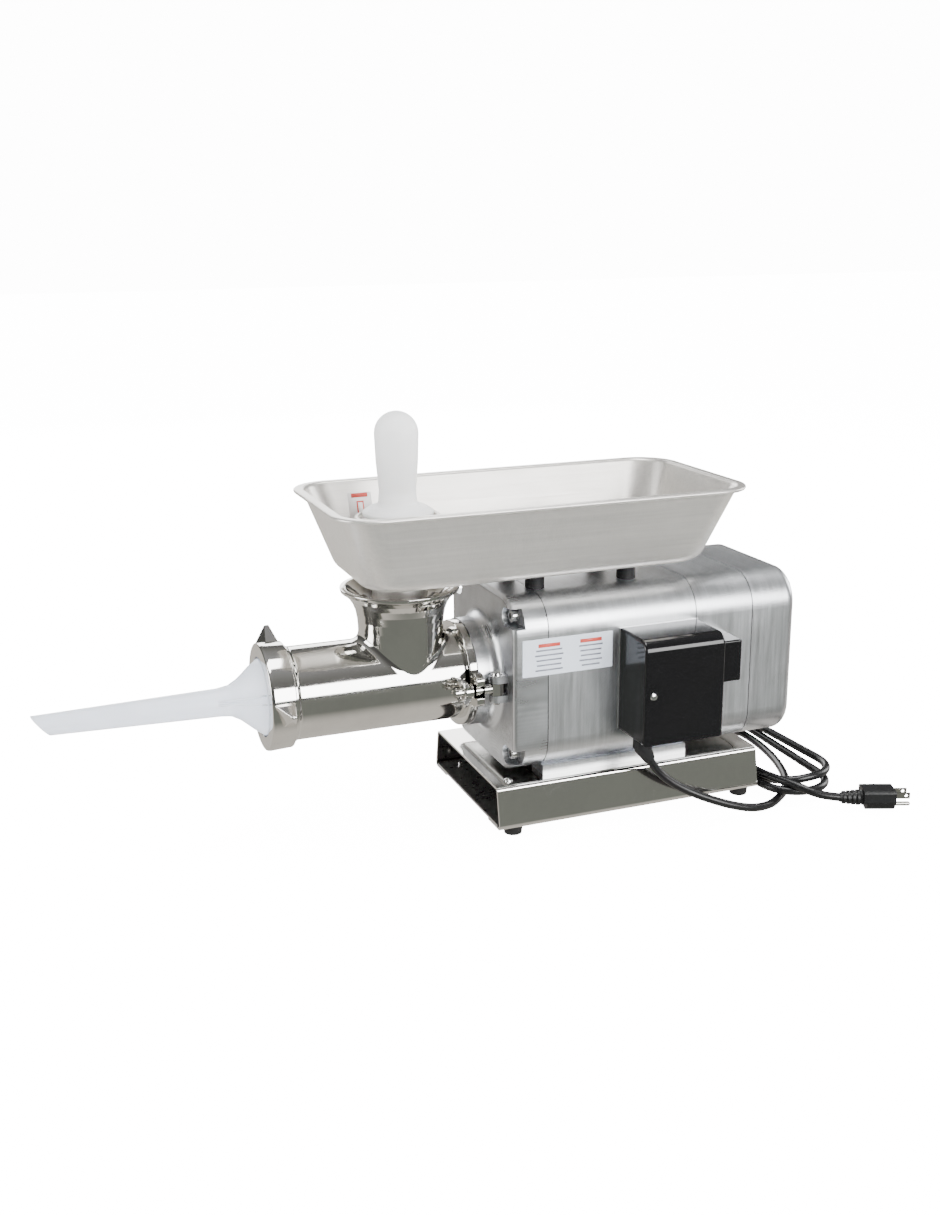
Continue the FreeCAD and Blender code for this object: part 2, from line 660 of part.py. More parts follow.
def make_cover():
    """The gearbox cover: boss, two pairs of clevis ears, corner pockets and bearing seats."""
    shell = body_section("cover_shell", S.motor_front, S.cover_length)
    front = float(S.motor_front)
    soften(shell, S.cover_edge, lambda edge: abs(edge.CenterOfMass.x - front) < 0.1)
    boss = cylinder("cover_boss", S.boss_radius, S.boss_length + 5.0, on_axis(BOSS_FRONT))
    solid = fuse("cover_solid", shell, boss)
    radius = float(S.boss_radius)
    blended = rounded("cover_blended", solid, S.boss_fillet, lambda edge: (
        abs(edge.CenterOfMass.x - front) < 0.1 and abs(edge.BoundBox.YLength - 2 * radius) < 0.5
        and spread(edge, "x") < 0.1))
    ears = []
    for side in (-1, 1):
        across = side * S.ear_side
        low = (PIN_X, across - S.ear_radius, S.axis_height - S.ear_half)
        high = (S.motor_front + 4.0, across + S.ear_radius, S.axis_height + S.ear_half)
        ears.append(box(f"ear_block_{side + 1}", low, high))
        at = (PIN_X, across, S.axis_height - S.ear_half)
        ears.append(cylinder(f"ear_round_{side + 1}", S.ear_radius, 2 * S.ear_half, at, "z"))
    whole = fuse("cover_whole", blended, *ears)

    tools = []
    for side in (-1, 1):
        across = side * S.ear_side
        near = S.ear_radius + 1.5
        low = (PIN_X - 20.0, across - near, S.axis_height - S.slot_half)
        high = (S.motor_front - S.gap, across + near, S.axis_height + S.slot_half)
        tools.append(box(f"ear_slot_{side + 1}", low, high))
        at = (PIN_X, across, S.axis_height - S.ear_half - 1.0)
        length = 2 * S.ear_half + 2.0
        tools.append(cylinder(f"ear_bore_{side + 1}", S.pin_radius + S.running, length, at, "z"))
    inside = body_section("cover_inside", S.motor_front + S.cover_wall, S.cover_length, S.cover_wall)
    hub_end = S.motor_front + S.bearing_width + 1.5
    hub = cylinder("cover_hub", S.hub_radius, hub_end - S.motor_front, on_axis(S.motor_front))
    lay_seat_end = S.motor_front + S.cover_wall + 10.0
    lay_at = (S.motor_front + 2.0, LAYSHAFT_Y, LAYSHAFT_Z)
    lay_hub = cylinder("cover_lay_hub", S.lay_bearing_radius + 5.0, lay_seat_end - lay_at[0], lay_at)
    posts = [
        cylinder(f"cover_post_{number}", S.pocket_radius + 4.0, S.cover_length - 1.0,
                 (S.motor_front + 1.0, y, z))
        for number, (y, z) in enumerate(bolt_places())
    ]
    tools.append(cut("cover_cavity", inside, hub, lay_hub, *posts))
    for number, (y, z) in enumerate(bolt_places()):
        at = (S.motor_front - 1.0, y, z)
        tools.append(cylinder(f"pocket_{number}", S.pocket_radius, S.pocket_depth + 1.0, at))
        outward = S.pocket_radius * 3
        side = -1 if number < 2 else 1
        low = (S.motor_front - 1.0, y if side > 0 else y - outward, z - S.pocket_radius)
        high = (S.motor_front + S.pocket_depth, y + outward if side > 0 else y, z + S.pocket_radius)
        tools.append(box(f"pocket_mouth_{number}", low, high))
        tools.append(cylinder(f"cover_bolt_bore_{number}", S.bolt_radius + S.gap, S.cover_length + 2.0, at))
    seat = cylinder("output_bearing_seat", S.bearing_radius + S.running, 100.0, on_axis(BOSS_FRONT + 1.0))
    tools.append(seat)
    seat_at = (S.motor_front + S.cover_wall, LAYSHAFT_Y, LAYSHAFT_Z)
    tools.append(cylinder("lay_bearing_seat", S.lay_bearing_radius + S.running, 40.0, seat_at))
    tools.append(cylinder("shaft_opening", S.output_radius + 4.0, 10.0, on_axis(BOSS_FRONT - 5.0)))
    keep(cut("gearbox_cover", whole, *tools))


def make_housings():
    """The motor housing, the rear housing ring, the rear cap and the gaskets between them."""
    housing = body_section("housing_shell", HOUSING_START, S.housing_length, 0.0, S.housing_wall)
    wall = body_section("housing_bulkhead", BULKHEAD_START, S.bulkhead, S.housing_wall - 1.0)
    parts = [housing, wall]
    for side in (-1, 1):
        middle = side * S.rail_side
        low = (HOUSING_START, middle - S.rail_width / 2, S.base_top)
        high = (HOUSING_END, middle + S.rail_width / 2, S.motor_bottom + S.housing_wall)
        parts.append(box(f"foot_rail_{side + 1}", low, high))
    for number, (y, z) in enumerate(bolt_places()):
        length = BULKHEAD_START - HOUSING_START + 1.0
        post_at = (HOUSING_START, y, z)
        parts.append(cylinder(f"housing_post_{number}", S.pocket_radius + 2.0, length, post_at))
    tools = []
    for number, (y, z) in enumerate(bolt_places()):
        at = (HOUSING_START - 1.0, y, z)
        tools.append(cylinder(f"housing_tap_{number}", S.bolt_radius + S.running, 32.0, at))
    for number, (x, y) in enumerate(MOUNT_BOLT_PLACES):
        at = (x, y, S.base_top - 1.0)
        tools.append(cylinder(f"rail_tap_{number}", S.mount_bolt_radius + S.running, 10.0, at, "z"))
    before = BULKHEAD_START - 1.0
    through = S.bulkhead + 2.0
    tools.append(cylinder("bulkhead_bore", S.motor_bearing_radius + S.running, through, on_axis(before)))
    lay_at = (before, LAYSHAFT_Y, LAYSHAFT_Z)
    tools.append(cylinder("bulkhead_lay_bore", S.lay_bearing_radius + S.running, through, lay_at))
    keep(cut("motor_housing", fuse("housing_solid", *parts), *tools))

    ring_shell = body_section("ring_shell", RING_START, S.ring_length, 0.0, S.housing_wall)
    shield = body_section("ring_shield", REAR_BEARING_START, S.bulkhead, S.housing_wall - 1.0)
    bore_at = on_axis(REAR_BEARING_START - 1.0)
    bore = cylinder("shield_bore", S.motor_bearing_radius + S.running, through, bore_at)
    slots = []
    for number in range(8):
        turn = Rotation(Vector(1, 0, 0), 45.0 * number + 22.5)
        slot = box(f"shield_slot_{number}", (0.0, -6.0, 32.0), (30.0, 6.0, 58.0))
        slots.append(shield_slot(slot, turn))
    solid = fuse("ring_solid", ring_shell, shield)
    keep(cut("rear_housing", solid, bore, *slots))

    cap = body_section("rear_cap_shell", CAP_START, S.cap_length)
    end = float(CAP_END)
    soften(cap, S.cap_edge, lambda edge: abs(edge.CenterOfMass.x - end) < 0.1)
    hollow = body_section("cap_hollow", CAP_START - 1.0, S.cap_length - S.housing_wall + 1.0, S.housing_wall)
    soften(hollow, S.cap_edge - S.housing_wall, lambda edge: (
        abs(edge.CenterOfMass.x - (end - float(S.housing_wall))) < 0.1))
    tools = [hollow]
    for row in range(9):
        rise = S.axis_height + (row - 4) * 13.0
        half = math.sqrt(62.0 ** 2 - ((row - 4) * 13.0) ** 2)
        low = (CAP_END - 15.0, -half, rise - 2.5)
        tools.append(box(f"vent_{row}", low, (CAP_END + 5.0, half, rise + 2.5)))
    for number, (y, z) in enumerate(bolt_places()):
        bore_at = (CAP_END - 20.0, y, z)
        tools.append(cylinder(f"cap_screw_bore_{number}", S.screw_radius + S.gap, 30.0, bore_at))
    keep(cut("rear_cap", cap, *tools))

    screws = []
    for number, (y, z) in enumerate(bolt_places()):
        head = [
            (-S.cap_edge - 3.0, 0.0), (-S.cap_edge - 3.0, S.screw_radius), (0.0, S.screw_radius),
            (0.0, S.screw_head), (1.5, S.screw_head), (S.screw_head_height, 3.0), (S.screw_head_height, 0.0),
        ]
        screws.append(turned(f"cap_screw_{number}", head, (CAP_END, y, z)))
    keep(together("rear_cap_screws", screws))

    gaskets = [
        body_section(f"gasket_{number}", start, S.seam, S.seam_inset, S.housing_wall - 1.5)
        for number, start in enumerate((COVER_BACK, HOUSING_END, RING_END))
    ]
    keep(together("housing_gaskets", gaskets))


def shield_slot(slot, turn):
    """Turns a slot of the bearing shield round the motor's axis."""
    slot.Placement = Placement(point(on_axis(REAR_BEARING_START - 1.0)), turn).multiply(slot.Placement)
    return slot


def make_bolts():
    """Socket head cover bolts, and the bolts that hold the motor down on the base."""
    bolts = []
    for number, (y, z) in enumerate(bolt_places()):
        seat = S.motor_front + S.pocket_depth
        outline = [
            (-8.0, 3.2), (-8.0, S.bolt_head - 0.6), (-7.4, S.bolt_head), (0.0, S.bolt_head),
            (0.0, S.bolt_radius), (48.0, S.bolt_radius), (48.0, 0.0), (-4.0, 0.0), (-4.0, 3.2),
        ]
        bolts.append(turned(f"cover_bolt_{number}", outline, (seat, y, z)))
    keep(together("cover_bolts", bolts))
    mounts = []
    grip = S.base_sheet + 8.0
    for number, (x, y) in enumerate(MOUNT_BOLT_PLACES):
        outline = [
            (-4.5, 0.0), (-4.5, S.bolt_head - 1.5), (0.0, S.bolt_head - 1.5), (0.0, S.mount_bolt_radius),
            (grip, S.mount_bolt_radius), (grip, 0.0),
        ]
        mounts.append(turned(f"mount_bolt_{number}", outline, (x, y, S.base_top - S.base_sheet), "z"))
    keep(together("motor_mount_bolts", mounts))


# ---------------------------------------------------------------- grinding head
def make_head():
    """One casting: barrel, throat with its flared collar, and the clamping flange."""
    back = BOSS_FRONT - S.running
    outline = [
        (BARREL_FRONT, 0.0), (BARREL_FRONT, S.thread_radius),
        (BARREL_FRONT + S.thread_length, S.thread_radius),
        (BARREL_FRONT + S.thread_length + 4.0, S.barrel_radius), (FLANGE_FRONT, S.barrel_radius),
        (FLANGE_FRONT, S.flange_radius), (back, S.flange_radius),
        (back, 0.0),
    ]
    barrel = turned("head_barrel", outline, (0.0, 0.0, S.axis_height))
    neck_top = S.collar_top - 38.0
    throat = [
        (S.axis_height, 0.0), (S.axis_height, S.neck_radius), (neck_top, S.neck_radius),
        (neck_top + 16.0, S.neck_radius + 3.0), (neck_top + 29.0, S.neck_radius + 10.0),
        (S.collar_top - 4.0, S.collar_radius), (S.collar_top, S.collar_radius), (S.collar_top, 0.0),
    ]
    collar = turned("head_throat", throat, (THROAT_X, 0.0, 0.0), "z")
    joined = fuse("head_joined", barrel, collar)
    neck = float(S.neck_radius)
    middle = float(THROAT_X)

    def saddle(edge):
        bounds = edge.BoundBox
        low = bounds.ZMax < float(S.axis_height + S.barrel_radius) + 2 and bounds.ZLength > 5
        return low and abs(bounds.Center.x - middle) < neck + 1 and bounds.XLength > neck

    blended = rounded("head_blended", joined, 9.0, saddle)
    lugs = []
    notches = []
    for side in (-1, 1):
        inner = side * (S.flange_radius - 12.0)
        outer = side * S.lug_reach
        low_y, high_y = (outer, inner) if side < 0 else (inner, outer)
        low = (FLANGE_FRONT, low_y, S.axis_height - S.lug_half)
        lugs.append(box(f"flange_lug_{side + 1}", low, (back, high_y, S.axis_height + S.lug_half)))
        start = side * (S.ear_side - S.notch_half)
        end = side * (S.lug_reach + 5.0)
        low_y, high_y = (end, start) if side < 0 else (start, end)
        low = (FLANGE_FRONT - 5.0, low_y, S.axis_height - S.notch_half)
        notches.append(box(f"notch_{side + 1}", low, (back + 5.0, high_y, S.axis_height + S.notch_half)))
    solid = fuse("head_solid", blended, *lugs)
    chamber_end = FLANGE_FRONT - 4.0
    chamber_length = chamber_end - BARREL_FRONT + 1.0
    chamber = cylinder("barrel_bore", S.barrel_bore, chamber_length, on_axis(BARREL_FRONT - 1.0))
    passage = cylinder("tail_passage", S.tail_radius + S.gap, 40.0, on_axis(chamber_end - 10.0))
    well = [
        (S.axis_height, 0.0), (S.axis_height, S.throat_bore), (neck_top, S.throat_bore),
        (neck_top + 16.0, S.throat_bore + 3.0), (neck_top + 29.0, S.throat_bore + 9.0),
        (S.collar_top, S.collar_bore), (S.collar_top + 1.0, S.collar_bore), (S.collar_top + 1.0, 0.0),
    ]
    throat_bore = turned("throat_well", well, (THROAT_X, 0.0, 0.0), "z")
    keep(cut("grinder_head", solid, chamber, passage, throat_bore, *notches))


def make_feed_screw():
    """Core, helical flight, tail with a square tang, and the stud that drives the knife."""
    start = KNIFE_BACK + S.gap
    end = FLANGE_FRONT - 4.0 - S.gap
    core = cone("screw_core_cone", S.screw_core, S.screw_core + 7.0, end - start, on_axis(start))
    tail = cylinder("screw_tail", S.tail_radius, BOSS_FRONT - 1.5 - end + 4.0, on_axis(end - 4.0))
    side = S.tang_half
    tang_start = BOSS_FRONT - 2.0
    low = (tang_start, -side, S.axis_height - side)
    tang = box("screw_tang", low, (tang_start + 20.0, side, S.axis_height + side))
    height = float(end - start) - 12.0
    inner = float(S.screw_core) - 2.0
    helix = Part.makeHelix(float(S.flight_pitch), height, inner)
    outer = float(S.flight_radius) - inner
    corners = [(inner, -4.0), (inner + outer, -1.8), (inner + outer, 1.8), (inner, 4.0)]
    section = Part.makePolygon([Vector(r, 0, z) for r, z in corners + corners[:1]])
    flight = Part.Wire(helix.Edges).makePipeShell([section], True, True)
    sweep = shaped("screw_flight_sweep", flight, on_axis(start + 6.0), AXES["x"])
    blade = doc.addObject("Part::MultiCommon", "screw_flight")
    blade.Shapes = [sweep, cylinder("screw_envelope", S.flight_radius, end - start, on_axis(start))]
    keep(fuse("feed_screw", core, tail, tang, blade))
    stud_end = BARREL_FRONT + 1.0
    stud_at = on_axis(stud_end)
    keep(cylinder("drive_stud", S.stud_radius, start - S.gap - stud_end, stud_at))


def make_knife_and_plate():
    """A four-armed knife on the stud, and the plate that it cuts against."""
    knife = new_body("cross_knife", on_axis(KNIFE_BACK - S.knife_thick))
    hub = sketch_on(knife, "knife_hub", "YZ_Plane")
    draw_circle(hub, (0.0, 0.0), 15.0)
    draw_circle(hub, (0.0, 0.0), S.stud_radius + S.running)
    pad(knife, hub, S.knife_thick)
    arm = sketch_on(knife, "knife_arm", "YZ_Plane")
    reach = S.plate_radius - 3.0
    draw_polygon(arm, [(-4.5, 10.0), (4.5, 10.0), (3.0, reach), (-7.0, reach - 2.0)])
    arm_pad = pad(knife, arm, S.knife_thick)
    pattern(knife, [arm_pad], 4, "X_Axis")
    keep(knife)

    plate = new_body("grinding_plate", on_axis(BARREL_FRONT))
    disc = sketch_on(plate, "plate_disc", "YZ_Plane")
    draw_circle(disc, (0.0, 0.0), S.plate_radius)
    draw_circle(disc, (0.0, 0.0), S.stud_radius + S.running)
    pad(plate, disc, S.plate_thick)
    for count, radius in ((8, 14.0), (14, 23.0), (20, 32.0)):
        hole = sketch_on(plate, f"plate_hole_{count}", "YZ_Plane")
        draw_circle(hole, (0.0, radius), S.plate_hole)
        drilled = pocket(plate, hole, S.plate_thick, reverse=True)
        pattern(plate, [drilled], count, "X_Axis")
    keep(plate)


def make_ring_nut():
    """A threaded ring with three pointed lugs for a spanner or a mallet."""
    outline = [
        (NUT_FRONT, S.nut_opening), (NUT_FRONT, S.nut_radius - 3.0), (NUT_FRONT + 3.0, S.nut_radius),
        (NUT_BACK - 1.5, S.nut_radius), (NUT_BACK, S.nut_radius - 1.5), (NUT_BACK, S.thread_radius + S.gap),
        (NUT_LIP_BACK, S.thread_radius + S.gap), (NUT_LIP_BACK, S.nut_opening),
    ]
    turn = Rotation(Vector(1, 0, 0), -S.nut_lug_turn)
    body = turned("ring_nut", outline, on_axis(0.0), "x", turn)
    lug = sketch_on(body, "nut_lug", "YZ_Plane", NUT_FRONT + S.nut_lip)
    foot = S.nut_radius - 3.0
    tip_half = 1.5
    points = [
        (-S.nut_lug_slope, foot), (S.nut_lug_steep, foot),
        (tip_half, S.nut_lug_tip), (-tip_half, S.nut_lug_tip),
    ]
    draw_polygon(lug, points)
    lug_pad = pad(body, lug, S.nut_lug_thick)
    pattern(body, [lug_pad], 3, "X_Axis")
    keep(body)


def make_stuffing_tube():
    """The plastic tube held by the ring nut: flange, cone and a long taper with a slanted tip."""
    lip = NUT_LIP_BACK + S.gap
    back = BARREL_FRONT - S.gap
    wall = S.tube_wall
    cone_end = NUT_FRONT - S.cone_length
    tip = NUT_FRONT - S.tube_reach
    outline = [
        (back, S.thread_radius - 0.4), (lip, S.thread_radius - 0.4), (lip, S.cone_radius + 1.0),
        (NUT_FRONT, S.cone_radius), (NUT_FRONT - 8.0, S.cone_radius - 6.0),
        (NUT_FRONT - 22.0, S.tube_root + 6.0), (cone_end, S.tube_root + 1.0),
        (cone_end - 8.0, S.tube_root), (tip, S.tube_tip),
        (tip, S.tube_tip - wall), (cone_end - 8.0, S.tube_root - wall), (cone_end, S.tube_root + 1.0 - wall),
        (NUT_FRONT - 22.0, S.tube_root + 6.0 - wall), (NUT_FRONT - 8.0, S.cone_radius - 6.0 - wall),
        (back, S.cone_radius - 1.0 - wall),
    ]
    tube = turned("tube_turned", outline, (0.0, 0.0, S.axis_height))
    slant = math.degrees(math.atan2(float(S.tip_slant), 2 * float(S.tube_tip)))
    blade = box("tip_blade", (-60.0, -30.0, -60.0), (0.0, 30.0, 60.0))
    lean = Rotation(Vector(0, 1, 0), -slant)
    middle = tip + S.tip_slant / 2
    blade.Placement = Placement(point(on_axis(middle)), lean).multiply(blade.Placement)
    keep(cut("stuffing_tube", tube, blade))


def make_clamps():
    """Two swing bolts on their pins, each with a four-winged nut."""
    pins = []
    for side, word in ((-1, "near"), (1, "far")):
        across = side * S.ear_side
        eye_half = S.slot_half - S.gap
        eye_at = (PIN_X, across, S.axis_height - eye_half)
        eye = cylinder(f"swing_eye_{word}", S.ear_radius, 2 * eye_half, eye_at, "z")
        tip_at = (PIN_X - S.swing_reach, across, S.axis_height)
        shank = cylinder(f"swing_shank_{word}", S.swing_radius, S.swing_reach - 2.0, tip_at)
        bore_at = (PIN_X, across, S.axis_height - S.slot_half)
        bore = cylinder(f"swing_bore_{word}", S.pin_radius + S.running, 2 * S.slot_half, bore_at, "z")
        keep(cut(f"swing_bolt_{word}", fuse(f"swing_solid_{word}", eye, shank), bore))
        pins.append(pin_at(f"swing_pin_{word}", across))

        seat = FLANGE_FRONT - S.seat_gap
        outline = [
            (0.0, S.swing_radius + S.running), (0.0, S.notch_half + 0.4), (-1.6, S.nut_hub_radius),
            (-S.nut_hub_length + 1.5, S.nut_hub_radius), (-S.nut_hub_length, S.nut_hub_radius - 1.5),
            (-S.nut_hub_length, S.swing_radius + S.running),
        ]
        eighth = Rotation(Vector(1, 0, 0), 45)
        nut = turned(f"star_nut_{word}", outline, (seat, across, S.axis_height), "x", eighth)
        wing = sketch_on(nut, f"nut_wing_{word}", "XZ_Plane")
        reach = S.nut_wing_radius
        points = [
            (-2.5, S.nut_hub_radius - 2.0), (-9.0, reach - 0.8), (-13.5, reach),
            (-14.5, reach - 3.0), (-9.5, S.nut_hub_radius - 2.0),
        ]
        draw_polygon(wing, points)
        wing_pad = pad(nut, wing, S.nut_wing_thick, midplane=True)
        pattern(nut, [wing_pad], 4, "X_Axis")
        keep(nut)
    keep(together("swing_pins", pins))


def pin_at(name, across):
    outline = [
        (S.ear_half + 2.5, 0.0), (S.ear_half + 2.5, S.pin_radius + 1.0),
        (S.ear_half + S.running, S.pin_radius + 2.0),
        (S.ear_half + S.running, S.pin_radius), (-S.ear_half - 3.0, S.pin_radius), (-S.ear_half - 3.0, 0.0),
    ]
    return turned(name, outline, (PIN_X, across, S.axis_height), "z")


# ---------------------------------------------------------------- tray, guard and pusher
def tray_plan(inset):
    low = (S.tray_front + inset, -S.tray_half + inset)
    high = (S.tray_rear - inset, S.tray_half - inset)
    return low, high


def tray_levels(sheet, above):
    """Plans of the tray's pressed shape from floor to rim: (inset, height, corner radius)."""
    foot = S.rim_width + S.tray_slope
    rise = S.tray_top - S.tray_bottom
    lean = math.atan2(float(S.tray_slope), float(rise))
    reach = math.tan((math.pi / 2 - lean) / 2)
    round_radius = S.tray_round - sheet
    levels = []
    for step in range(5):
        angle = (math.pi / 2 - lean) * step / 4
        inset = foot + S.tray_round * reach - round_radius * math.sin(angle)
        height = S.tray_bottom + S.tray_round - round_radius * math.cos(angle)
        corner = S.tray_foot_corner - S.tray_round * reach + round_radius * math.sin(angle)
        levels.append((inset, height, corner))
    top = S.tray_top + above
    levels.append((S.rim_width + sheet - above * math.tan(lean), top, S.tray_corner - S.rim_width - sheet))
    return levels


def loft(body, name, levels):
    """A loft through rounded rectangles: levels hold (inset, height, corner radius)."""
    sketches = []
    for number, (inset, height, radius) in enumerate(levels):
        sketch = sketch_on(body, f"{name}_{number}", "XY_Plane", height)
        low, high = tray_plan(inset)
        draw_rounded_rectangle(sketch, low, high, radius)
        sketches.append(sketch)
    item = body.newObject("PartDesign::AdditiveLoft", f"{name}_loft")
    item.Profile = sketches[0]
    item.Sections = sketches[1:]
    item.Ruled = True
    doc.recompute()
    return item


def make_tray():
    """A pressed sheet tray with a flat rim, a rolled edge and a spout into the throat."""
    tray = new_body("tray_shell")
    loft(tray, "tray_out", tray_levels(0.0, 0.0))
    rim = sketch_on(tray, "tray_rim", "XY_Plane", S.tray_top - S.rim_height)
    low, high = tray_plan(0.0)
    draw_rounded_rectangle(rim, low, high, S.tray_corner)
    pad(tray, rim, S.rim_height)
    hollow = new_body("tray_hollow")
    loft(hollow, "tray_in", tray_levels(S.tray_sheet, 1.0))
    at = (THROAT_X, 0.0, S.tray_bottom - S.spout_length)
    spout = cylinder("tray_spout", S.spout_radius, S.spout_length + 1.0, at, "z")
    bore_at = (THROAT_X, 0.0, S.tray_bottom - S.spout_length - 1.0)
    bore = cylinder("spout_bore", S.spout_radius - S.tray_sheet, S.spout_length + 10.0, bore_at, "z")
    under = S.rim_height - S.tray_sheet
    rolled = box("rim_under", (S.tray_front - 5.0, -S.tray_half - 5.0, S.tray_top - S.rim_height - 1.0),
                 (S.tray_rear + 5.0, S.tray_half + 5.0, S.tray_top - S.rim_height + under))
    edge_strip = 1.6
    inner_rim = rim_core("rim_core", edge_strip)
    groove = doc.addObject("Part::MultiCommon", "rim_groove")
    groove.Shapes = [rolled, inner_rim]
    rim_hollow = cut("rim_hollow", groove, wall_core("wall_core"))
    shell = cut("tray_open", cut("tray_grooved", tray, rim_hollow), hollow)
    keep(cut("food_tray", fuse("tray_with_spout", shell, spout), bore))


def rim_core(name, inset):
    """The space inside the rolled edge, over the whole rim."""
    body = new_body(name)
    sketch = sketch_on(body, f"{name}_plan", "XY_Plane", S.tray_top - S.rim_height - 1.0)
    low, high = tray_plan(inset)
    draw_rounded_rectangle(sketch, low, high, S.tray_corner - inset)
    pad(body, sketch, S.rim_height + 1.0)
    return body


def wall_core(name):
    """What the groove under the rim leaves standing: the tray's own wall."""
    body = new_body(name)
    sketch = sketch_on(body, f"{name}_plan", "XY_Plane", S.tray_top - S.rim_height - 2.0)
    inset = S.rim_width - S.tray_sheet * 0.2
    low, high = tray_plan(inset)
    draw_rounded_rectangle(sketch, low, high, S.tray_corner - inset)
    pad(body, sketch, S.rim_height + 4.0)
    return body


def make_tray_fittings():
    """Rubber posts under the tray, the guard over its hole, and the pusher."""
    posts = []
    for x in (S.post_front, S.post_rear):
        for side in (-1, 1):
            at = (x, side * S.post_side, S.motor_top)
            length = S.tray_bottom - S.gap - S.motor_top
            posts.append(cylinder(f"tray_post_{len(posts)}", S.post_radius, length, at, "z"))
    keep(together("tray_posts", posts))

    hoop = doc.addObject("Part::Torus", "guard_hoop")
    bind(hoop, Radius1=S.guard_radius - S.guard_rod, Radius2=S.guard_rod)
    place(hoop, (THROAT_X, 0.0, S.guard_top - S.guard_rod))
    legs = []
    floor = S.tray_bottom + S.tray_sheet
    for number in range(3):
        angle = math.radians(30 + 120 * number)
        reach = S.guard_radius - S.guard_rod
        at = (THROAT_X + reach * math.cos(angle), reach * math.sin(angle), floor)
        legs.append(cylinder(f"guard_leg_{number}", S.guard_leg, S.guard_top - S.guard_rod - floor, at, "z"))
    keep(fuse("feed_guard", hoop, *legs))

    rest = S.guard_top + S.gap
    outline = [
        (S.pusher_bottom, 0.0), (S.pusher_bottom, S.pusher_radius - 2.0),
        (S.pusher_bottom + 2.0, S.pusher_radius),
        (rest - 4.0, S.pusher_radius), (rest, S.pusher_radius + 4.0), (rest, S.pusher_disc - 1.0),
        (rest + 1.0, S.pusher_disc), (rest + 4.0, S.pusher_disc), (rest + 8.0, S.pusher_disc - 5.0),
        (rest + 10.0, S.pusher_neck + 2.0), (rest + 16.0, S.pusher_neck),
        (S.pusher_top - S.pusher_knob, S.pusher_knob), (S.pusher_top, S.pusher_knob), (S.pusher_top, 0.0),
    ]
    pusher = turned("feed_pusher", outline, (THROAT_X, 0.0, 0.0), "z")
    top = float(S.pusher_top)
    soften(pusher, S.pusher_knob - 0.6, lambda edge: abs(edge.CenterOfMass.z - top) < 0.1)
    keep(pusher)


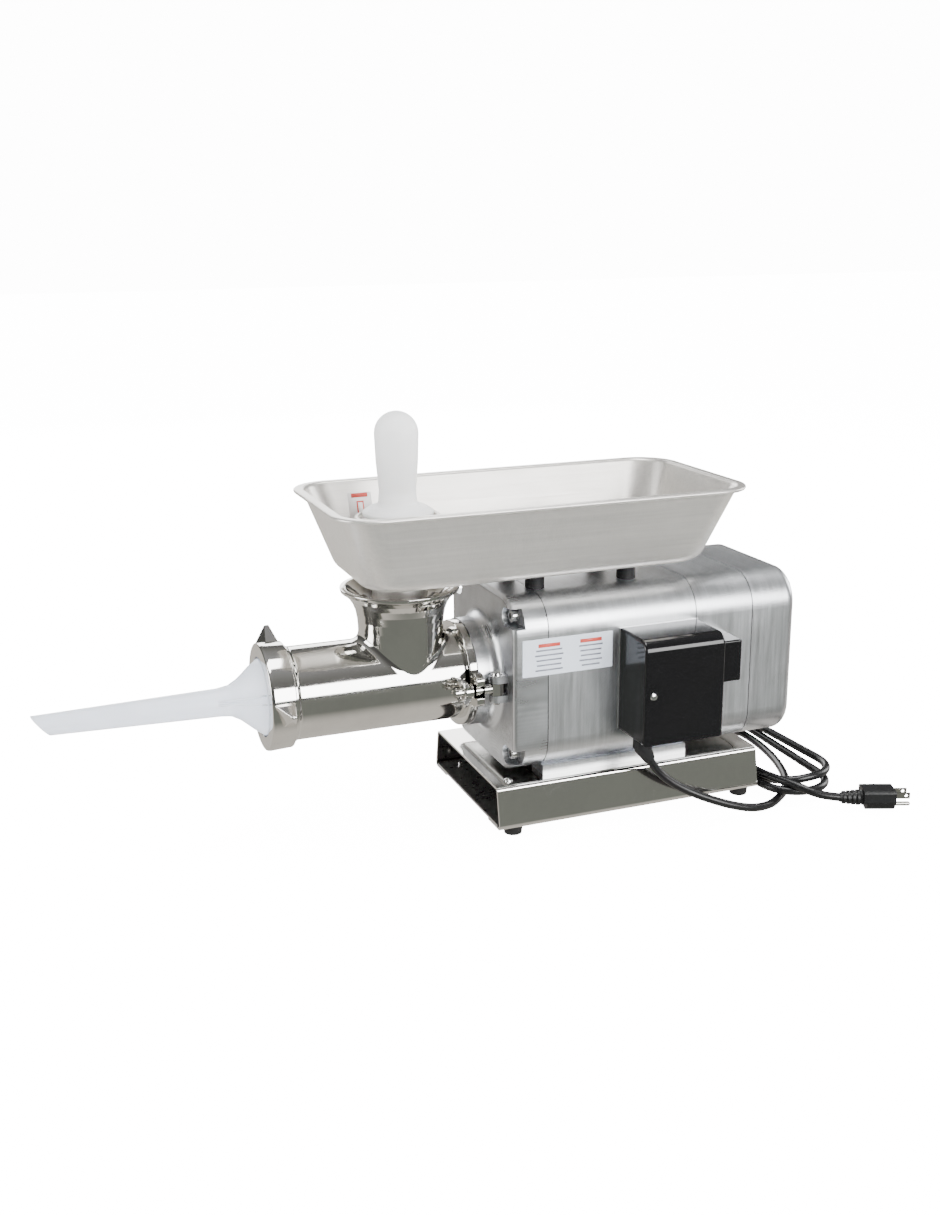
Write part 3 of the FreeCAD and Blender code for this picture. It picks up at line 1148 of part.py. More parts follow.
# ---------------------------------------------------------------- switch box
def make_switch_box():
    """The black box on the near side, with its screw, gland, reset button and inner pieces."""
    low = (S.box_front, BOX_FACE, S.box_bottom)
    blank = box("box_blank", low, (BOX_END, BOX_BACK, S.box_top))
    face = float(BOX_FACE)
    top = float(S.box_top)

    def upper_front(edge):
        middle = edge.CenterOfMass
        return spread(edge, "x") > 20 and abs(middle.y - face) < 0.1 and abs(middle.z - top) < 0.1

    def outer_corner(edge):
        middle = edge.CenterOfMass
        upright = spread(edge, "z") > 20 and middle.y < face + 1
        deep = spread(edge, "y") > 20
        return upright or deep

    first = rounded("box_round_top", blank, S.box_edge, upper_front)
    second = rounded("box_round_all", first, 3.0, outer_corner)
    wall = S.box_wall
    inner_low = (S.box_front + wall, BOX_FACE + wall, S.box_bottom + wall)
    inner = box("box_inner", inner_low, (BOX_END - wall, BOX_BACK + 1.0, S.box_top - wall))
    inner_top = float(S.box_top - wall)
    inner_face = float(BOX_FACE + wall)
    inside = rounded("box_inner_round", inner, S.box_edge - wall, lambda edge: (
        spread(edge, "x") > 20 and abs(edge.CenterOfMass.y - inner_face) < 0.1
        and abs(edge.CenterOfMass.z - inner_top) < 0.1))
    button_at = (BOX_END - 10.0, BOX_FACE + 14.0, 129.0)
    button_hole = cylinder("button_hole", S.button_radius + S.gap, 20.0, button_at)
    gland_hole = cylinder("gland_hole", S.gland_radius - 3.0, 12.0, (S.gland_x, -S.gland_side, 96.0), "z")
    screw_at = (S.box_front + 10.0, BOX_FACE - 1.0, 154.5)
    screw_hole = cylinder("box_screw_hole", S.screw_radius, 10.0, screw_at, "y")
    keep(cut("switch_box", second, inside, button_hole, gland_hole, screw_hole))

    plate_low = (S.box_front, BOX_BACK, S.box_bottom)
    keep(box("box_back_plate", plate_low, (BOX_END, -S.motor_half, S.box_top)))
    screw = [
        (-1.8, 0.0), (-1.8, 1.6), (-1.2, S.screw_head - 1.5), (0.0, S.screw_head - 0.6),
        (0.0, S.screw_radius - 0.1),
        (6.0, S.screw_radius - 0.1), (6.0, 0.0),
    ]
    turn = Rotation(Vector(0, 0, 1), 90)
    keep(turned("box_screw", screw, (S.box_front + 10.0, BOX_FACE, 154.5), "x", turn))

    button = [
        (-9.0, 0.0), (-9.0, S.button_radius + 2.0), (-6.0, S.button_radius + 2.0), (-6.0, S.button_radius),
        (S.button_proud - 1.0, S.button_radius), (S.button_proud, S.button_radius - 1.0),
        (S.button_proud, 0.0),
    ]
    keep(turned("reset_button", button, (BOX_END, BOX_FACE + 14.0, 129.0)))

    collar_length = 13.0
    collar = [
        (-0.05, 0.0), (-0.05, S.gland_radius), (-collar_length, S.gland_radius), (-collar_length, 0.0),
    ]
    top = turned("gland_collar", collar, (S.gland_x, -S.gland_side, S.box_bottom), "z")
    relief = [(-4.0, 0.0), (-4.0, S.gland_radius - 1.5), (0.0, S.gland_radius - 1.2),
              (S.relief_length, S.cord_radius + 1.6), (S.relief_length, 0.0)]
    lean = Rotation(Vector(1, 0, 0), Vector(*RELIEF_DIRECTION))
    at = (S.gland_x, -S.gland_side, S.box_bottom - collar_length)
    keep(fuse("cable_gland", top, turned("gland_relief", relief, at, "x", lean)))

    can_at = (30.0, -S.motor_half - 24.0, S.box_bottom + 20.0)
    keep(cylinder("run_capacitor", 17.0, 70.0, can_at, "z"))
    block_low = (0.0, BOX_BACK - 16.0, S.box_top - 50.0)
    keep(box("terminal_block", block_low, (12.0, BOX_BACK - 0.05, S.box_top - 20.0)))


def make_side_box():
    """The small box behind the switch box, with a rocker switch in its rear face."""
    low = (BOX_END, -S.motor_half - S.side_box_depth, S.side_box_bottom)
    blank = box("side_box_blank", low, (SIDE_BOX_END, -S.motor_half, S.side_box_top))
    wall = S.box_wall
    inner_low = (BOX_END + wall, -S.motor_half - S.side_box_depth + wall, S.side_box_bottom + wall)
    inner_high = (SIDE_BOX_END - wall, -S.motor_half - wall, S.side_box_top - wall)
    inner = box("side_box_inner", inner_low, inner_high)
    middle = (S.side_box_bottom + S.side_box_top) / 2
    across = -S.motor_half - S.side_box_depth / 2
    half_wide = S.rocker_width / 2 + 0.5
    half_high = S.rocker_height / 2 + 0.9
    mouth_low = (SIDE_BOX_END - 6.0, across - half_wide, middle - half_high)
    mouth = box("side_box_mouth", mouth_low, (SIDE_BOX_END + 6.0, across + half_wide, middle + half_high))
    softened = rounded("side_box_round", blank, 2.0, lambda edge: (
        edge.CenterOfMass.y < float(-S.motor_half) - 2.0))
    keep(cut("side_box", softened, inner, mouth))

    frame_low = (SIDE_BOX_END, across - half_wide - 2.0, middle - half_high - 2.5)
    frame_high = (SIDE_BOX_END + 2.0, across + half_wide + 2.0, middle + half_high + 2.5)
    hole_low = (SIDE_BOX_END - 1.0, across - half_wide, middle - half_high)
    hole = box("rocker_frame_hole", hole_low, (SIDE_BOX_END + 6.0, across + half_wide, middle + half_high))
    keep(cut("rocker_frame", box("rocker_frame_blank", frame_low, frame_high), hole))

    rocker = new_body("rocker_switch", (SIDE_BOX_END, across, middle), Rotation(Vector(0, 1, 0), 7))
    sketch = sketch_on(rocker, "rocker_side", "XZ_Plane")
    half = S.rocker_height / 2
    draw_polygon(sketch, [(-4.0, -6.5), (3.6, -half), (2.4, 0.0), (3.6, half), (-4.0, 6.5)])
    pad(rocker, sketch, S.rocker_width, midplane=True)
    keep(rocker)


# ---------------------------------------------------------------- drive train
def involute(angle):
    return math.tan(angle) - angle


def gear_outline(module, teeth, phase):
    """Corners of a spur gear with involute flanks, thinned by half the backlash."""
    pressure = math.radians(PRESSURE_ANGLE)
    pitch = module * teeth / 2
    base = pitch * math.cos(pressure)
    tip = pitch + 0.95 * module
    root = pitch - 1.2 * module
    half_pitch = math.pi / (2 * teeth) - BACKLASH / (4 * pitch)
    corners = []
    for tooth in range(teeth):
        middle = phase + 2 * math.pi * tooth / teeth
        flank = []
        for step in range(5):
            radius = max(base, root) + (tip - max(base, root)) * step / 4
            lean = involute(math.acos(min(1.0, base / radius)))
            flank.append((radius, half_pitch + involute(pressure) - lean))
        start = flank[0][1]
        side = [(root, start)] + flank
        for radius, angle in side:
            corners.append((radius, middle - angle))
        for radius, angle in reversed(side):
            corners.append((radius, middle + angle))
    return [(radius * math.cos(angle), radius * math.sin(angle)) for radius, angle in corners]


def gear(name, module, teeth, face, bore, at, phase):
    """A spur gear along X, as a polygon of teeth pushed out and bored."""
    points = [Vector(0, y, z) for y, z in gear_outline(module, teeth, phase)]
    wire = Part.makePolygon(points + points[:1])
    solid = Part.Face(wire).extrude(Vector(float(face), 0, 0))
    hole = Part.makeCylinder(float(bore), float(face) + 2, Vector(-1, 0, 0), Vector(1, 0, 0))
    return keep(shaped(name, solid.cut(hole), at))


def make_drive():
    """Output shaft, layshaft and motor shaft, with their gears and bearings."""
    towards_lay = math.atan2(float(LAYSHAFT_Z - S.axis_height), float(LAYSHAFT_Y))
    press = S.running
    gear("output_gear", SLOW_MODULE, SLOW_TEETH[1], S.gear_face, S.output_radius + press,
         on_axis(OUTPUT_GEAR_START), towards_lay)
    half_tooth = math.pi / SLOW_TEETH[0]
    gear("layshaft_pinion", SLOW_MODULE, SLOW_TEETH[0], S.gear_face + 2.0, S.layshaft_radius + press,
         (OUTPUT_GEAR_START - 1.0, LAYSHAFT_Y, LAYSHAFT_Z), towards_lay + math.pi + half_tooth)
    half_tooth = math.pi / FAST_TEETH[1]
    gear("layshaft_gear", FAST_MODULE, FAST_TEETH[1], S.fast_gear_face, S.layshaft_radius + press,
         (FAST_GEAR_START, LAYSHAFT_Y, LAYSHAFT_Z), towards_lay + math.pi + half_tooth)
    gear("motor_pinion", FAST_MODULE, FAST_TEETH[0], S.fast_gear_face + 2.0, S.shaft_radius - 1.0 + press,
         on_axis(FAST_GEAR_START - 1.0), towards_lay)

    shaft_start = BOSS_FRONT - 1.0
    shaft_end = OUTPUT_GEAR_START + S.gear_face + 1.5
    shaft = cylinder("output_shaft_bar", S.output_radius, shaft_end - shaft_start, on_axis(shaft_start))
    socket_half = S.tang_half + 0.1
    low = (shaft_start - 1.0, -socket_half, S.axis_height - socket_half)
    socket = box("output_socket", low, (BOSS_FRONT + 19.0, socket_half, S.axis_height + socket_half))
    keep(cut("output_shaft", shaft, socket))
    seal_start = BOSS_FRONT + 1.1
    inner = S.output_radius + S.running
    keep(ring("oil_seal", S.bearing_radius, inner, seal_start, 7.0))
    first = seal_start + 8.0
    bearings = [
        ring("output_bearing_front", S.bearing_radius, inner, first, S.bearing_width),
        ring("output_bearing_rear", S.bearing_radius, inner, first + S.bearing_width + 1.0, S.bearing_width),
    ]
    keep(together("output_bearings", bearings))

    lay_start = S.motor_front + S.cover_wall
    lay_length = BULKHEAD_END - lay_start
    keep(cylinder("layshaft", S.layshaft_radius, lay_length, (lay_start, LAYSHAFT_Y, LAYSHAFT_Z)))
    lay_inner = S.layshaft_radius + S.running
    lay_bearings = [
        ring(f"lay_bearing_{word}", S.lay_bearing_radius, lay_inner, start, length, LAYSHAFT_Y, LAYSHAFT_Z)
        for word, start, length in (("front", lay_start + 0.1, 9.5), ("rear", BULKHEAD_START, S.bulkhead))
    ]
    keep(together("layshaft_bearings", lay_bearings))

    nose = FAST_GEAR_START - 1.5
    shaft_end = FAN_START + 22.0
    neck = S.shaft_radius - 1.0
    outline = [
        (nose, 0.0), (nose, neck), (BULKHEAD_START - 1.0, neck), (BULKHEAD_START - 1.0, S.shaft_radius),
        (shaft_end, S.shaft_radius), (shaft_end, 0.0),
    ]
    keep(turned("motor_shaft", outline, (0.0, 0.0, S.axis_height)))
    motor_inner = S.shaft_radius + S.running
    motor_bearings = [
        ring("motor_bearing_front", S.motor_bearing_radius, motor_inner, BULKHEAD_START, S.bulkhead),
        ring("motor_bearing_rear", S.motor_bearing_radius, motor_inner, REAR_BEARING_START, S.bulkhead),
    ]
    keep(together("motor_bearings", motor_bearings))


def make_motor():
    """Stator, its windings, rotor and cooling fan."""
    bore = S.rotor_radius + S.air_gap
    keep(ring("stator_core", S.stator_radius, bore, STATOR_START, S.stator_length))
    coils = [
        ring("winding_front", S.stator_radius - 12.0, bore + 4.0, STATOR_START - 22.0, 21.9),
        ring("winding_rear", S.stator_radius - 12.0, bore + 4.0, STATOR_START + S.stator_length + 0.1, 21.9),
    ]
    keep(together("stator_windings", coils))
    keep(ring("rotor_core", S.rotor_radius, S.shaft_radius + S.running, STATOR_START, S.stator_length))

    fan = new_body("cooling_fan", on_axis(FAN_START))
    hub = sketch_on(fan, "fan_hub", "YZ_Plane")
    draw_circle(hub, (0.0, 0.0), 18.0)
    draw_circle(hub, (0.0, 0.0), S.shaft_radius + S.running)
    pad(fan, hub, 20.0)
    disc = sketch_on(fan, "fan_disc", "YZ_Plane")
    draw_circle(disc, (0.0, 0.0), S.fan_radius)
    draw_circle(disc, (0.0, 0.0), 17.0)
    pad(fan, disc, 2.5)
    vane = sketch_on(fan, "fan_vane", "YZ_Plane")
    draw_polygon(vane, [(-1.2, 16.0), (1.2, 16.0), (1.2, S.fan_radius - 1.0), (-1.2, S.fan_radius - 1.0)])
    vane_pad = pad(fan, vane, 20.0)
    pattern(fan, [vane_pad], 9, "X_Axis")
    keep(fan)


# ---------------------------------------------------------------- plates, cord and plug
def make_plates():
    """A blank instruction plate on the motor body."""
    low = (-124.5, -S.motor_half - 0.4, 171.5)
    keep(box("instruction_plate", low, (-24.5, -S.motor_half, 210.0)))


CORD_FREE = [
    (6.5, -117.3, 75.16), (13.6, -118.0, 63.0), (27.8, -120.5, 49.0), (47.0, -125.0, 36.5),
    (70.0, -130.5, 25.5), (97.0, -135.0, 15.0), (124.0, -136.0, 7.4), (148.0, -130.5, 5.2),
    (166.5, -118.5, 5.6),
]
CORD_END = [
    (183.3, -130.6, 12.0), (192.2, -142.4, 10.8), (204.1, -151.5, 11.4), (218.0, -157.0, 13.2),
]
PLUG_DIRECTION = (0.93, -0.3676, 0.0)


def tube_along(name, points, radius):
    """A round tube along straight runs joined by the largest arcs that the runs allow."""
    spots = [Vector(*spot) for spot in points]
    edges = []
    start = spots[0]
    for before, corner, after in zip(spots, spots[1:], spots[2:]):
        back = (before - corner).normalize()
        ahead = (after - corner).normalize()
        half_turn = (math.pi - back.getAngle(ahead)) / 2
        reach = 0.45 * min((before - corner).Length, (after - corner).Length)
        bend = reach / math.tan(half_turn)
        print(f"{name}: bend radius {bend:.1f} mm, {bend / (2 * radius):.1f} diameters")
        enter = corner + back * reach
        leave = corner + ahead * reach
        inward = (back + ahead).normalize()
        middle = corner + inward * (bend / math.cos(half_turn) - bend)
        edges.append(Part.LineSegment(start, enter).toShape())
        edges.append(Part.Arc(enter, middle, leave).toShape())
        start = leave
    edges.append(Part.LineSegment(start, spots[-1]).toShape())
    path = Part.Wire(edges)
    direction = (spots[1] - spots[0]).normalize()
    section = Part.Wire(Part.makeCircle(radius, spots[0], direction))
    tube = path.makePipeShell([section], True, False)
    expected = math.pi * radius ** 2 * path.Length
    print(f"{name}: {path.Length:.0f} mm long, volume is {tube.Volume / expected:.4f} of section x length")
    return tube


def make_cord():
    """The power cord's two free stretches, its loose loops, and the plug."""
    radius = float(S.cord_radius)
    keep(shaped("power_cord", tube_along("power_cord", CORD_FREE, radius)))
    keep(shaped("power_cord_end", tube_along("power_cord_end", CORD_END, radius)))

    outer = S.coil_side + S.cord_radius
    inner = S.coil_side - 2 * S.cord_radius
    middle_x = 197.5
    coil = new_body("cord_coil", (middle_x, -16.0, 0.05))
    plan = sketch_on(coil, "coil_plan", "XY_Plane")
    far = 77.0 + outer
    near = 77.0 + inner
    draw_rounded_rectangle(plan, (-outer, -far), (outer, far), outer - 0.5)
    draw_rounded_rectangle(plan, (-inner, -near), (inner, near), inner - 0.5)
    pad(coil, plan, S.coil_height)
    keep(coil)


def make_plug():
    """A moulded plug with a ribbed relief, two flat blades and a round ground pin."""
    turn = Rotation(Vector(1, 0, 0), Vector(*PLUG_DIRECTION))
    start = Vector(*CORD_END[-1])
    frame = Placement(start, turn)
    profile = [(0.0, 5.2)]
    for rib in range(4):
        at = 2.5 + 5.0 * rib
        low, high = 5.4 + 0.5 * rib, 7.0 + 0.5 * rib
        profile += [(at, low), (at, high), (at + 3.0, high), (at + 3.0, low)]
    profile += [(24.0, 8.5), (24.0, 0.0), (0.0, 0.0)]
    wire = Part.makePolygon([Vector(x, 0, r) for x, r in profile + profile[:1]])
    relief = Part.Face(wire).revolve(Vector(0, 0, 0), Vector(1, 0, 0), 360)
    block = Part.makeBox(34, 26, 15, Vector(23, -13, -4))
    block = block.makeFillet(3.0, [edge for edge in block.Edges if edge.BoundBox.XLength > 20])
    lobe = Part.makeCylinder(11.5, 30, Vector(27, 0, -1.5), Vector(1, 0, 0))
    plug = relief.fuse(block).fuse(lobe).removeSplitter()
    plug = plug.common(Part.makeBox(80, 60, 60, Vector(-1, -30, 0.1 - float(start.z))))
    keep(shaped("plug_body", plug)).Placement = frame

    blades = []
    for across in (-6.35, 6.35):
        blade = Part.makeBox(16.0, 1.6, 6.6, Vector(57.0, across - 0.8, 1.0))
        hole = Part.makeCylinder(1.7, 4, Vector(69.0, across - 2, 4.3), Vector(0, 1, 0))
        blades.append(blade.cut(hole))
    pin = Part.makeCylinder(2.35, 16.5, Vector(57.0, 0, -7.6), Vector(1, 0, 0))
    tip = Part.makeSphere(2.35, Vector(73.5, 0, -7.6))
    blades.append(pin.fuse(tip).removeSplitter())
    keep(shaped("plug_blades", Part.makeCompound(blades))).Placement = frame


def check_and_write():
    """Refuses failed objects and bad shapes, then writes one file for each piece."""
    doc.recompute()
    failed = [item.Label for item in doc.Objects if {"Invalid", "Error"} & set(item.State)]
    if failed:
        raise RuntimeError(f"failed objects: {failed}")
    os.makedirs("parts", exist_ok=True)
    for name, item in pieces.items():
        shape = item.Shape
        if shape.isNull() or not shape.isValid() or not shape.Solids:
            raise RuntimeError(f"{name} has no valid solid")
        shape.exportStep(f"parts/{name}.step")
        print(f"{name}: {len(shape.Solids)} solid(s), {shape.Volume / 1000:.1f} cm3")


make_base()
make_feet()
make_cover()
make_housings()
make_bolts()
make_head()
make_feed_screw()
make_knife_and_plate()
make_ring_nut()
make_stuffing_tube()
make_clamps()
make_tray()
make_tray_fittings()
make_switch_box()
make_side_box()
make_drive()
make_motor()
make_plates()
make_cord()
make_plug()
check_and_write()
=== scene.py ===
import math

import bmesh
import bpy
import numpy as np
from bpy.props import FloatProperty, FloatVectorProperty, IntProperty, PointerProperty
from mathutils import Matrix, Vector


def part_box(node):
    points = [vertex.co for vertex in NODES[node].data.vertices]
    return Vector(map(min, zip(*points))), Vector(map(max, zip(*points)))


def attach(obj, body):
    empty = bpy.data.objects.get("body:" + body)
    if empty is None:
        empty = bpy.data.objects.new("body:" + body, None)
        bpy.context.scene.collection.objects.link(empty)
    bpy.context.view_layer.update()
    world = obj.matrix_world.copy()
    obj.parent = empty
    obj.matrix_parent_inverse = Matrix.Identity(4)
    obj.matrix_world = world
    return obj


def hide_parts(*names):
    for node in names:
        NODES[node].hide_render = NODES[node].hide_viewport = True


bl_info = {
    "name": "Meat Grinder",
    "version": (1, 0, 0),
    "blender": (4, 5, 0),
    "location": "View3D > Sidebar > Meat Grinder",
    "description": "Dresses the packed frame of a benchtop meat grinder in its finished surfaces",
    "category": "Object",
}

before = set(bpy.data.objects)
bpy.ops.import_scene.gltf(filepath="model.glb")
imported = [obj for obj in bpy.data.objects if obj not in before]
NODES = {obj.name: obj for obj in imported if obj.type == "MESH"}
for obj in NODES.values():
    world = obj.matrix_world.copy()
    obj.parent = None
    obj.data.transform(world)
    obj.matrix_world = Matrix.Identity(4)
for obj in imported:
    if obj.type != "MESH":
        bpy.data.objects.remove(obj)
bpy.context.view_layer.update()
AXIS = sum(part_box("motor_shaft"), Vector()).z / 2


def node_middle(name):
    """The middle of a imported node's box."""
    low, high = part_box(name)
    return (low + high) / 2


# ---------------------------------------------------------------- settings
class GrinderSizes(bpy.types.PropertyGroup):
    """Sizes of the pieces that are shaped here."""

    casting_grain: FloatProperty(
        name="Casting mesh", description="Cell of the head casting's mesh", default=0.0012,
        unit="LENGTH", precision=4)
    sheet: FloatProperty(
        name="Tray sheet", description="Thickness of the tray's sheet", default=0.0015,
        unit="LENGTH", precision=4)
    base_sheet: FloatProperty(
        name="Base sheet", description="Thickness of the folded base's sheet", default=0.0025,
        unit="LENGTH", precision=4)
    cord_width: FloatProperty(
        name="Cord width", description="Diameter of the power cord", default=0.009,
        unit="LENGTH", precision=4)
    cord_length: FloatProperty(
        name="Cord length", description="Length of the power cord from gland to plug", default=1.8,
        unit="LENGTH")
    round_steps: IntProperty(
        name="Steps round", description="Segments round a turned piece", default=128, min=24, max=512)


class GrinderColours(bpy.types.PropertyGroup):
    """Colours of the finishes."""

    polished: FloatVectorProperty(
        name="Polished steel", description="Mirror finish of the head, the ring nut and the base",
        subtype="COLOR", size=3, default=(0.74, 0.73, 0.70), min=0, max=1)
    tray: FloatVectorProperty(
        name="Tray steel", description="Brushed finish of the tray",
        subtype="COLOR", size=3, default=(0.74, 0.715, 0.675), min=0, max=1)
    motor: FloatVectorProperty(
        name="Motor aluminium", description="Satin finish of the motor castings",
        subtype="COLOR", size=3, default=(0.72, 0.735, 0.76), min=0, max=1)
    white: FloatVectorProperty(
        name="White plastic", description="Pusher and stuffing tube",
        subtype="COLOR", size=3, default=(0.87, 0.87, 0.86), min=0, max=1)
    black: FloatVectorProperty(
        name="Black", description="Boxes, cord, plug and rubber",
        subtype="COLOR", size=3, default=(0.004, 0.004, 0.0045), min=0, max=1)
    label: FloatVectorProperty(
        name="Label", description="Blank label film",
        subtype="COLOR", size=3, default=(0.62, 0.67, 0.74), min=0, max=1)


def sizes():
    return bpy.context.scene.grinder_sizes


def colours():
    return bpy.context.scene.grinder_colours


# ---------------------------------------------------------------- shader node groups
def new_group(name, inputs, outputs):
    """An empty shader group with inputs (name, default), a tuple for a vector, and float outputs."""
    group = bpy.data.node_groups.new(name, "ShaderNodeTree")
    for label, default in inputs:
        kind = "NodeSocketVector" if isinstance(default, tuple) else "NodeSocketFloat"
        group.interface.new_socket(label, in_out="INPUT", socket_type=kind).default_value = default
    for label in outputs:
        group.interface.new_socket(label, in_out="OUTPUT", socket_type="NodeSocketFloat")
    entry = group.nodes.new("NodeGroupInput")
    leave = group.nodes.new("NodeGroupOutput")
    return group, entry, leave


def feed(tree, socket, value):
    """Links a socket to another socket, or sets its number."""
    if hasattr(value, "is_linked"):
        tree.links.new(value, socket)
    else:
        socket.default_value = value


def noise(tree, vector, scale, detail=2.0, roughness=0.5):
    node = tree.nodes.new("ShaderNodeTexNoise")
    for label, value in (("Vector", vector), ("Scale", scale), ("Detail", detail), ("Roughness", roughness)):
        feed(tree, node.inputs[label], value)
    return node.outputs["Fac"]


def maths(tree, operation, *values):
    node = tree.nodes.new("ShaderNodeMath")
    node.operation = operation
    for socket, value in zip(node.inputs, values):
        feed(tree, socket, value)
    return node.outputs[0]


def spread_range(tree, value, low, high, to_low, to_high):
    node = tree.nodes.new("ShaderNodeMapRange")
    labels = ("Value", "From Min", "From Max", "To Min", "To Max")
    for label, number in zip(labels, (value, low, high, to_low, to_high)):
        feed(tree, node.inputs[label], number)
    return node.outputs["Result"]


def parts_of(tree, vector):
    """The X, Y and Z sockets of a vector."""
    split = tree.nodes.new("ShaderNodeSeparateXYZ")
    tree.links.new(vector, split.inputs[0])
    return split.outputs


def object_place(tree):
    """Where a point lies on its own piece."""
    return tree.nodes.new("ShaderNodeTexCoord").outputs["Object"]


def brush_group():
    """Long fine brush lines: stretched noise at two sizes."""
    name = "Brush lines"
    if name in bpy.data.node_groups:
        return bpy.data.node_groups[name]
    group, entry, leave = new_group(name, [("Stretch", (1.0, 1.0, 1.0)), ("Fine", 1.0), ("Coarse", 0.2)],
                                    ["Lines"])
    scaled = group.nodes.new("ShaderNodeVectorMath")
    scaled.operation = "MULTIPLY"
    group.links.new(object_place(group), scaled.inputs[0])
    group.links.new(entry.outputs["Stretch"], scaled.inputs[1])
    fine = noise(group, scaled.outputs[0], entry.outputs["Fine"], 3.0, 0.6)
    coarse = noise(group, scaled.outputs[0], entry.outputs["Coarse"], 2.0, 0.5)
    mixed = maths(group, "ADD", maths(group, "MULTIPLY", fine, 0.7), maths(group, "MULTIPLY", coarse, 0.3))
    group.links.new(mixed, leave.inputs["Lines"])
    return group


def handling_group():
    """Soft smudges and a few thin scratches left by use."""
    name = "Handling marks"
    if name in bpy.data.node_groups:
        return bpy.data.node_groups[name]
    group, entry, leave = new_group(name, [("Smudge size", 18.0), ("Scratch size", 55.0)],
                                    ["Smudges", "Scratches"])
    place = object_place(group)
    smudges = spread_range(group, noise(group, place, entry.outputs["Smudge size"], 4.0, 0.62),
                           0.42, 0.72, 0.0, 1.0)
    group.links.new(smudges, leave.inputs["Smudges"])
    bent = group.nodes.new("ShaderNodeVectorMath")
    bent.operation = "MULTIPLY_ADD"
    warp = group.nodes.new("ShaderNodeTexNoise")
    warp.inputs["Scale"].default_value = 9.0
    group.links.new(place, warp.inputs["Vector"])
    group.links.new(warp.outputs["Color"], bent.inputs[0])
    bent.inputs[1].default_value = (0.08, 0.08, 0.08)
    group.links.new(place, bent.inputs[2])
    cells = group.nodes.new("ShaderNodeTexVoronoi")
    cells.feature = "DISTANCE_TO_EDGE"
    group.links.new(entry.outputs["Scratch size"], cells.inputs["Scale"])
    group.links.new(bent.outputs[0], cells.inputs["Vector"])
    thin = spread_range(group, cells.outputs["Distance"], 0.0, 0.012, 1.0, 0.0)
    gate = spread_range(group, noise(group, place, 31.0, 1.0), 0.55, 0.68, 0.0, 1.0)
    group.links.new(maths(group, "MULTIPLY", thin, gate), leave.inputs["Scratches"])
    return group


def grain_group():
    """Moulded plastic and rubber skin: tiny pits over a slow waviness."""
    name = "Moulded skin"
    if name in bpy.data.node_groups:
        return bpy.data.node_groups[name]
    group, entry, leave = new_group(name, [("Pit size", 900.0), ("Wave size", 25.0)], ["Pits", "Waves"])
    place = object_place(group)
    group.links.new(noise(group, place, entry.outputs["Pit size"], 2.0), leave.inputs["Pits"])
    group.links.new(noise(group, place, entry.outputs["Wave size"], 2.0), leave.inputs["Waves"])
    return group


# ---------------------------------------------------------------- materials
def start_material(name):
    material = bpy.data.materials.new(name)
    material.use_nodes = True
    tree = material.node_tree
    shader = tree.nodes["Principled BSDF"]
    return material, tree, shader


def place_group(tree, group, **values):
    node = tree.nodes.new("ShaderNodeGroup")
    node.node_tree = group
    for label, value in values.items():
        node.inputs[label.replace("_", " ")].default_value = value
    return node


def blend_colour(tree, mask, first, second):
    node = tree.nodes.new("ShaderNodeMix")
    node.data_type = "RGBA"
    node.inputs["A"].default_value = (*first, 1.0)
    node.inputs["B"].default_value = (*second, 1.0)
    tree.links.new(mask, node.inputs["Factor"])
    return node.outputs["Result"]


def bump(tree, shader, height, strength, distance=0.0002):
    node = tree.nodes.new("ShaderNodeBump")
    node.inputs["Strength"].default_value = strength
    node.inputs["Distance"].default_value = distance
    tree.links.new(height, node.inputs["Height"])
    tree.links.new(node.outputs["Normal"], shader.inputs["Normal"])


def shade(colour, factor):
    return tuple(min(1.0, part * factor) for part in colour)


def brushed_metal(name, colour, stretch, roughness=0.3, relief=0.25, fine=1.0, coarse=0.2, metallic=1.0,
                  contrast=0.10):
    """Metal brushed along one direction; stretch holds the line density along X, Y and Z."""
    material, tree, shader = start_material(name)
    lines = place_group(tree, brush_group(), Stretch=stretch, Fine=fine, Coarse=coarse)
    marks = place_group(tree, handling_group(), Smudge_size=14.0, Scratch_size=40.0)
    tone = spread_range(tree, lines.outputs["Lines"], 0.3, 0.7, 0.0, 1.0)
    tree.links.new(blend_colour(tree, tone, shade(colour, 1.0 - contrast), shade(colour, 1.0 + contrast)),
                   shader.inputs["Base Color"])
    rough = spread_range(tree, lines.outputs["Lines"], 0.25, 0.75, roughness - 0.07, roughness + 0.07)
    smudged = maths(tree, "MULTIPLY_ADD", marks.outputs["Smudges"], 0.05, rough)
    tree.links.new(smudged, shader.inputs["Roughness"])
    shader.inputs["Metallic"].default_value = metallic
    bump(tree, shader, lines.outputs["Lines"], relief)
    return material


def polished_metal(name, colour, roughness=0.06, ripple=0.05, ripple_size=30.0):
    """Mirror-polished metal with faint hand-polishing ripples, smudges and hair scratches."""
    material, tree, shader = start_material(name)
    marks = place_group(tree, handling_group(), Smudge_size=16.0, Scratch_size=34.0)
    skin = place_group(tree, grain_group(), Pit_size=420.0, Wave_size=ripple_size)
    tree.links.new(blend_colour(tree, marks.outputs["Smudges"], colour, shade(colour, 0.9)),
                   shader.inputs["Base Color"])
    rough = maths(tree, "MULTIPLY_ADD", marks.outputs["Smudges"], 0.05, roughness)
    rough = maths(tree, "MULTIPLY_ADD", marks.outputs["Scratches"], 0.10, rough)
    tree.links.new(rough, shader.inputs["Roughness"])
    shader.inputs["Metallic"].default_value = 1.0
    bump(tree, shader, skin.outputs["Waves"], ripple, 0.004)
    return material


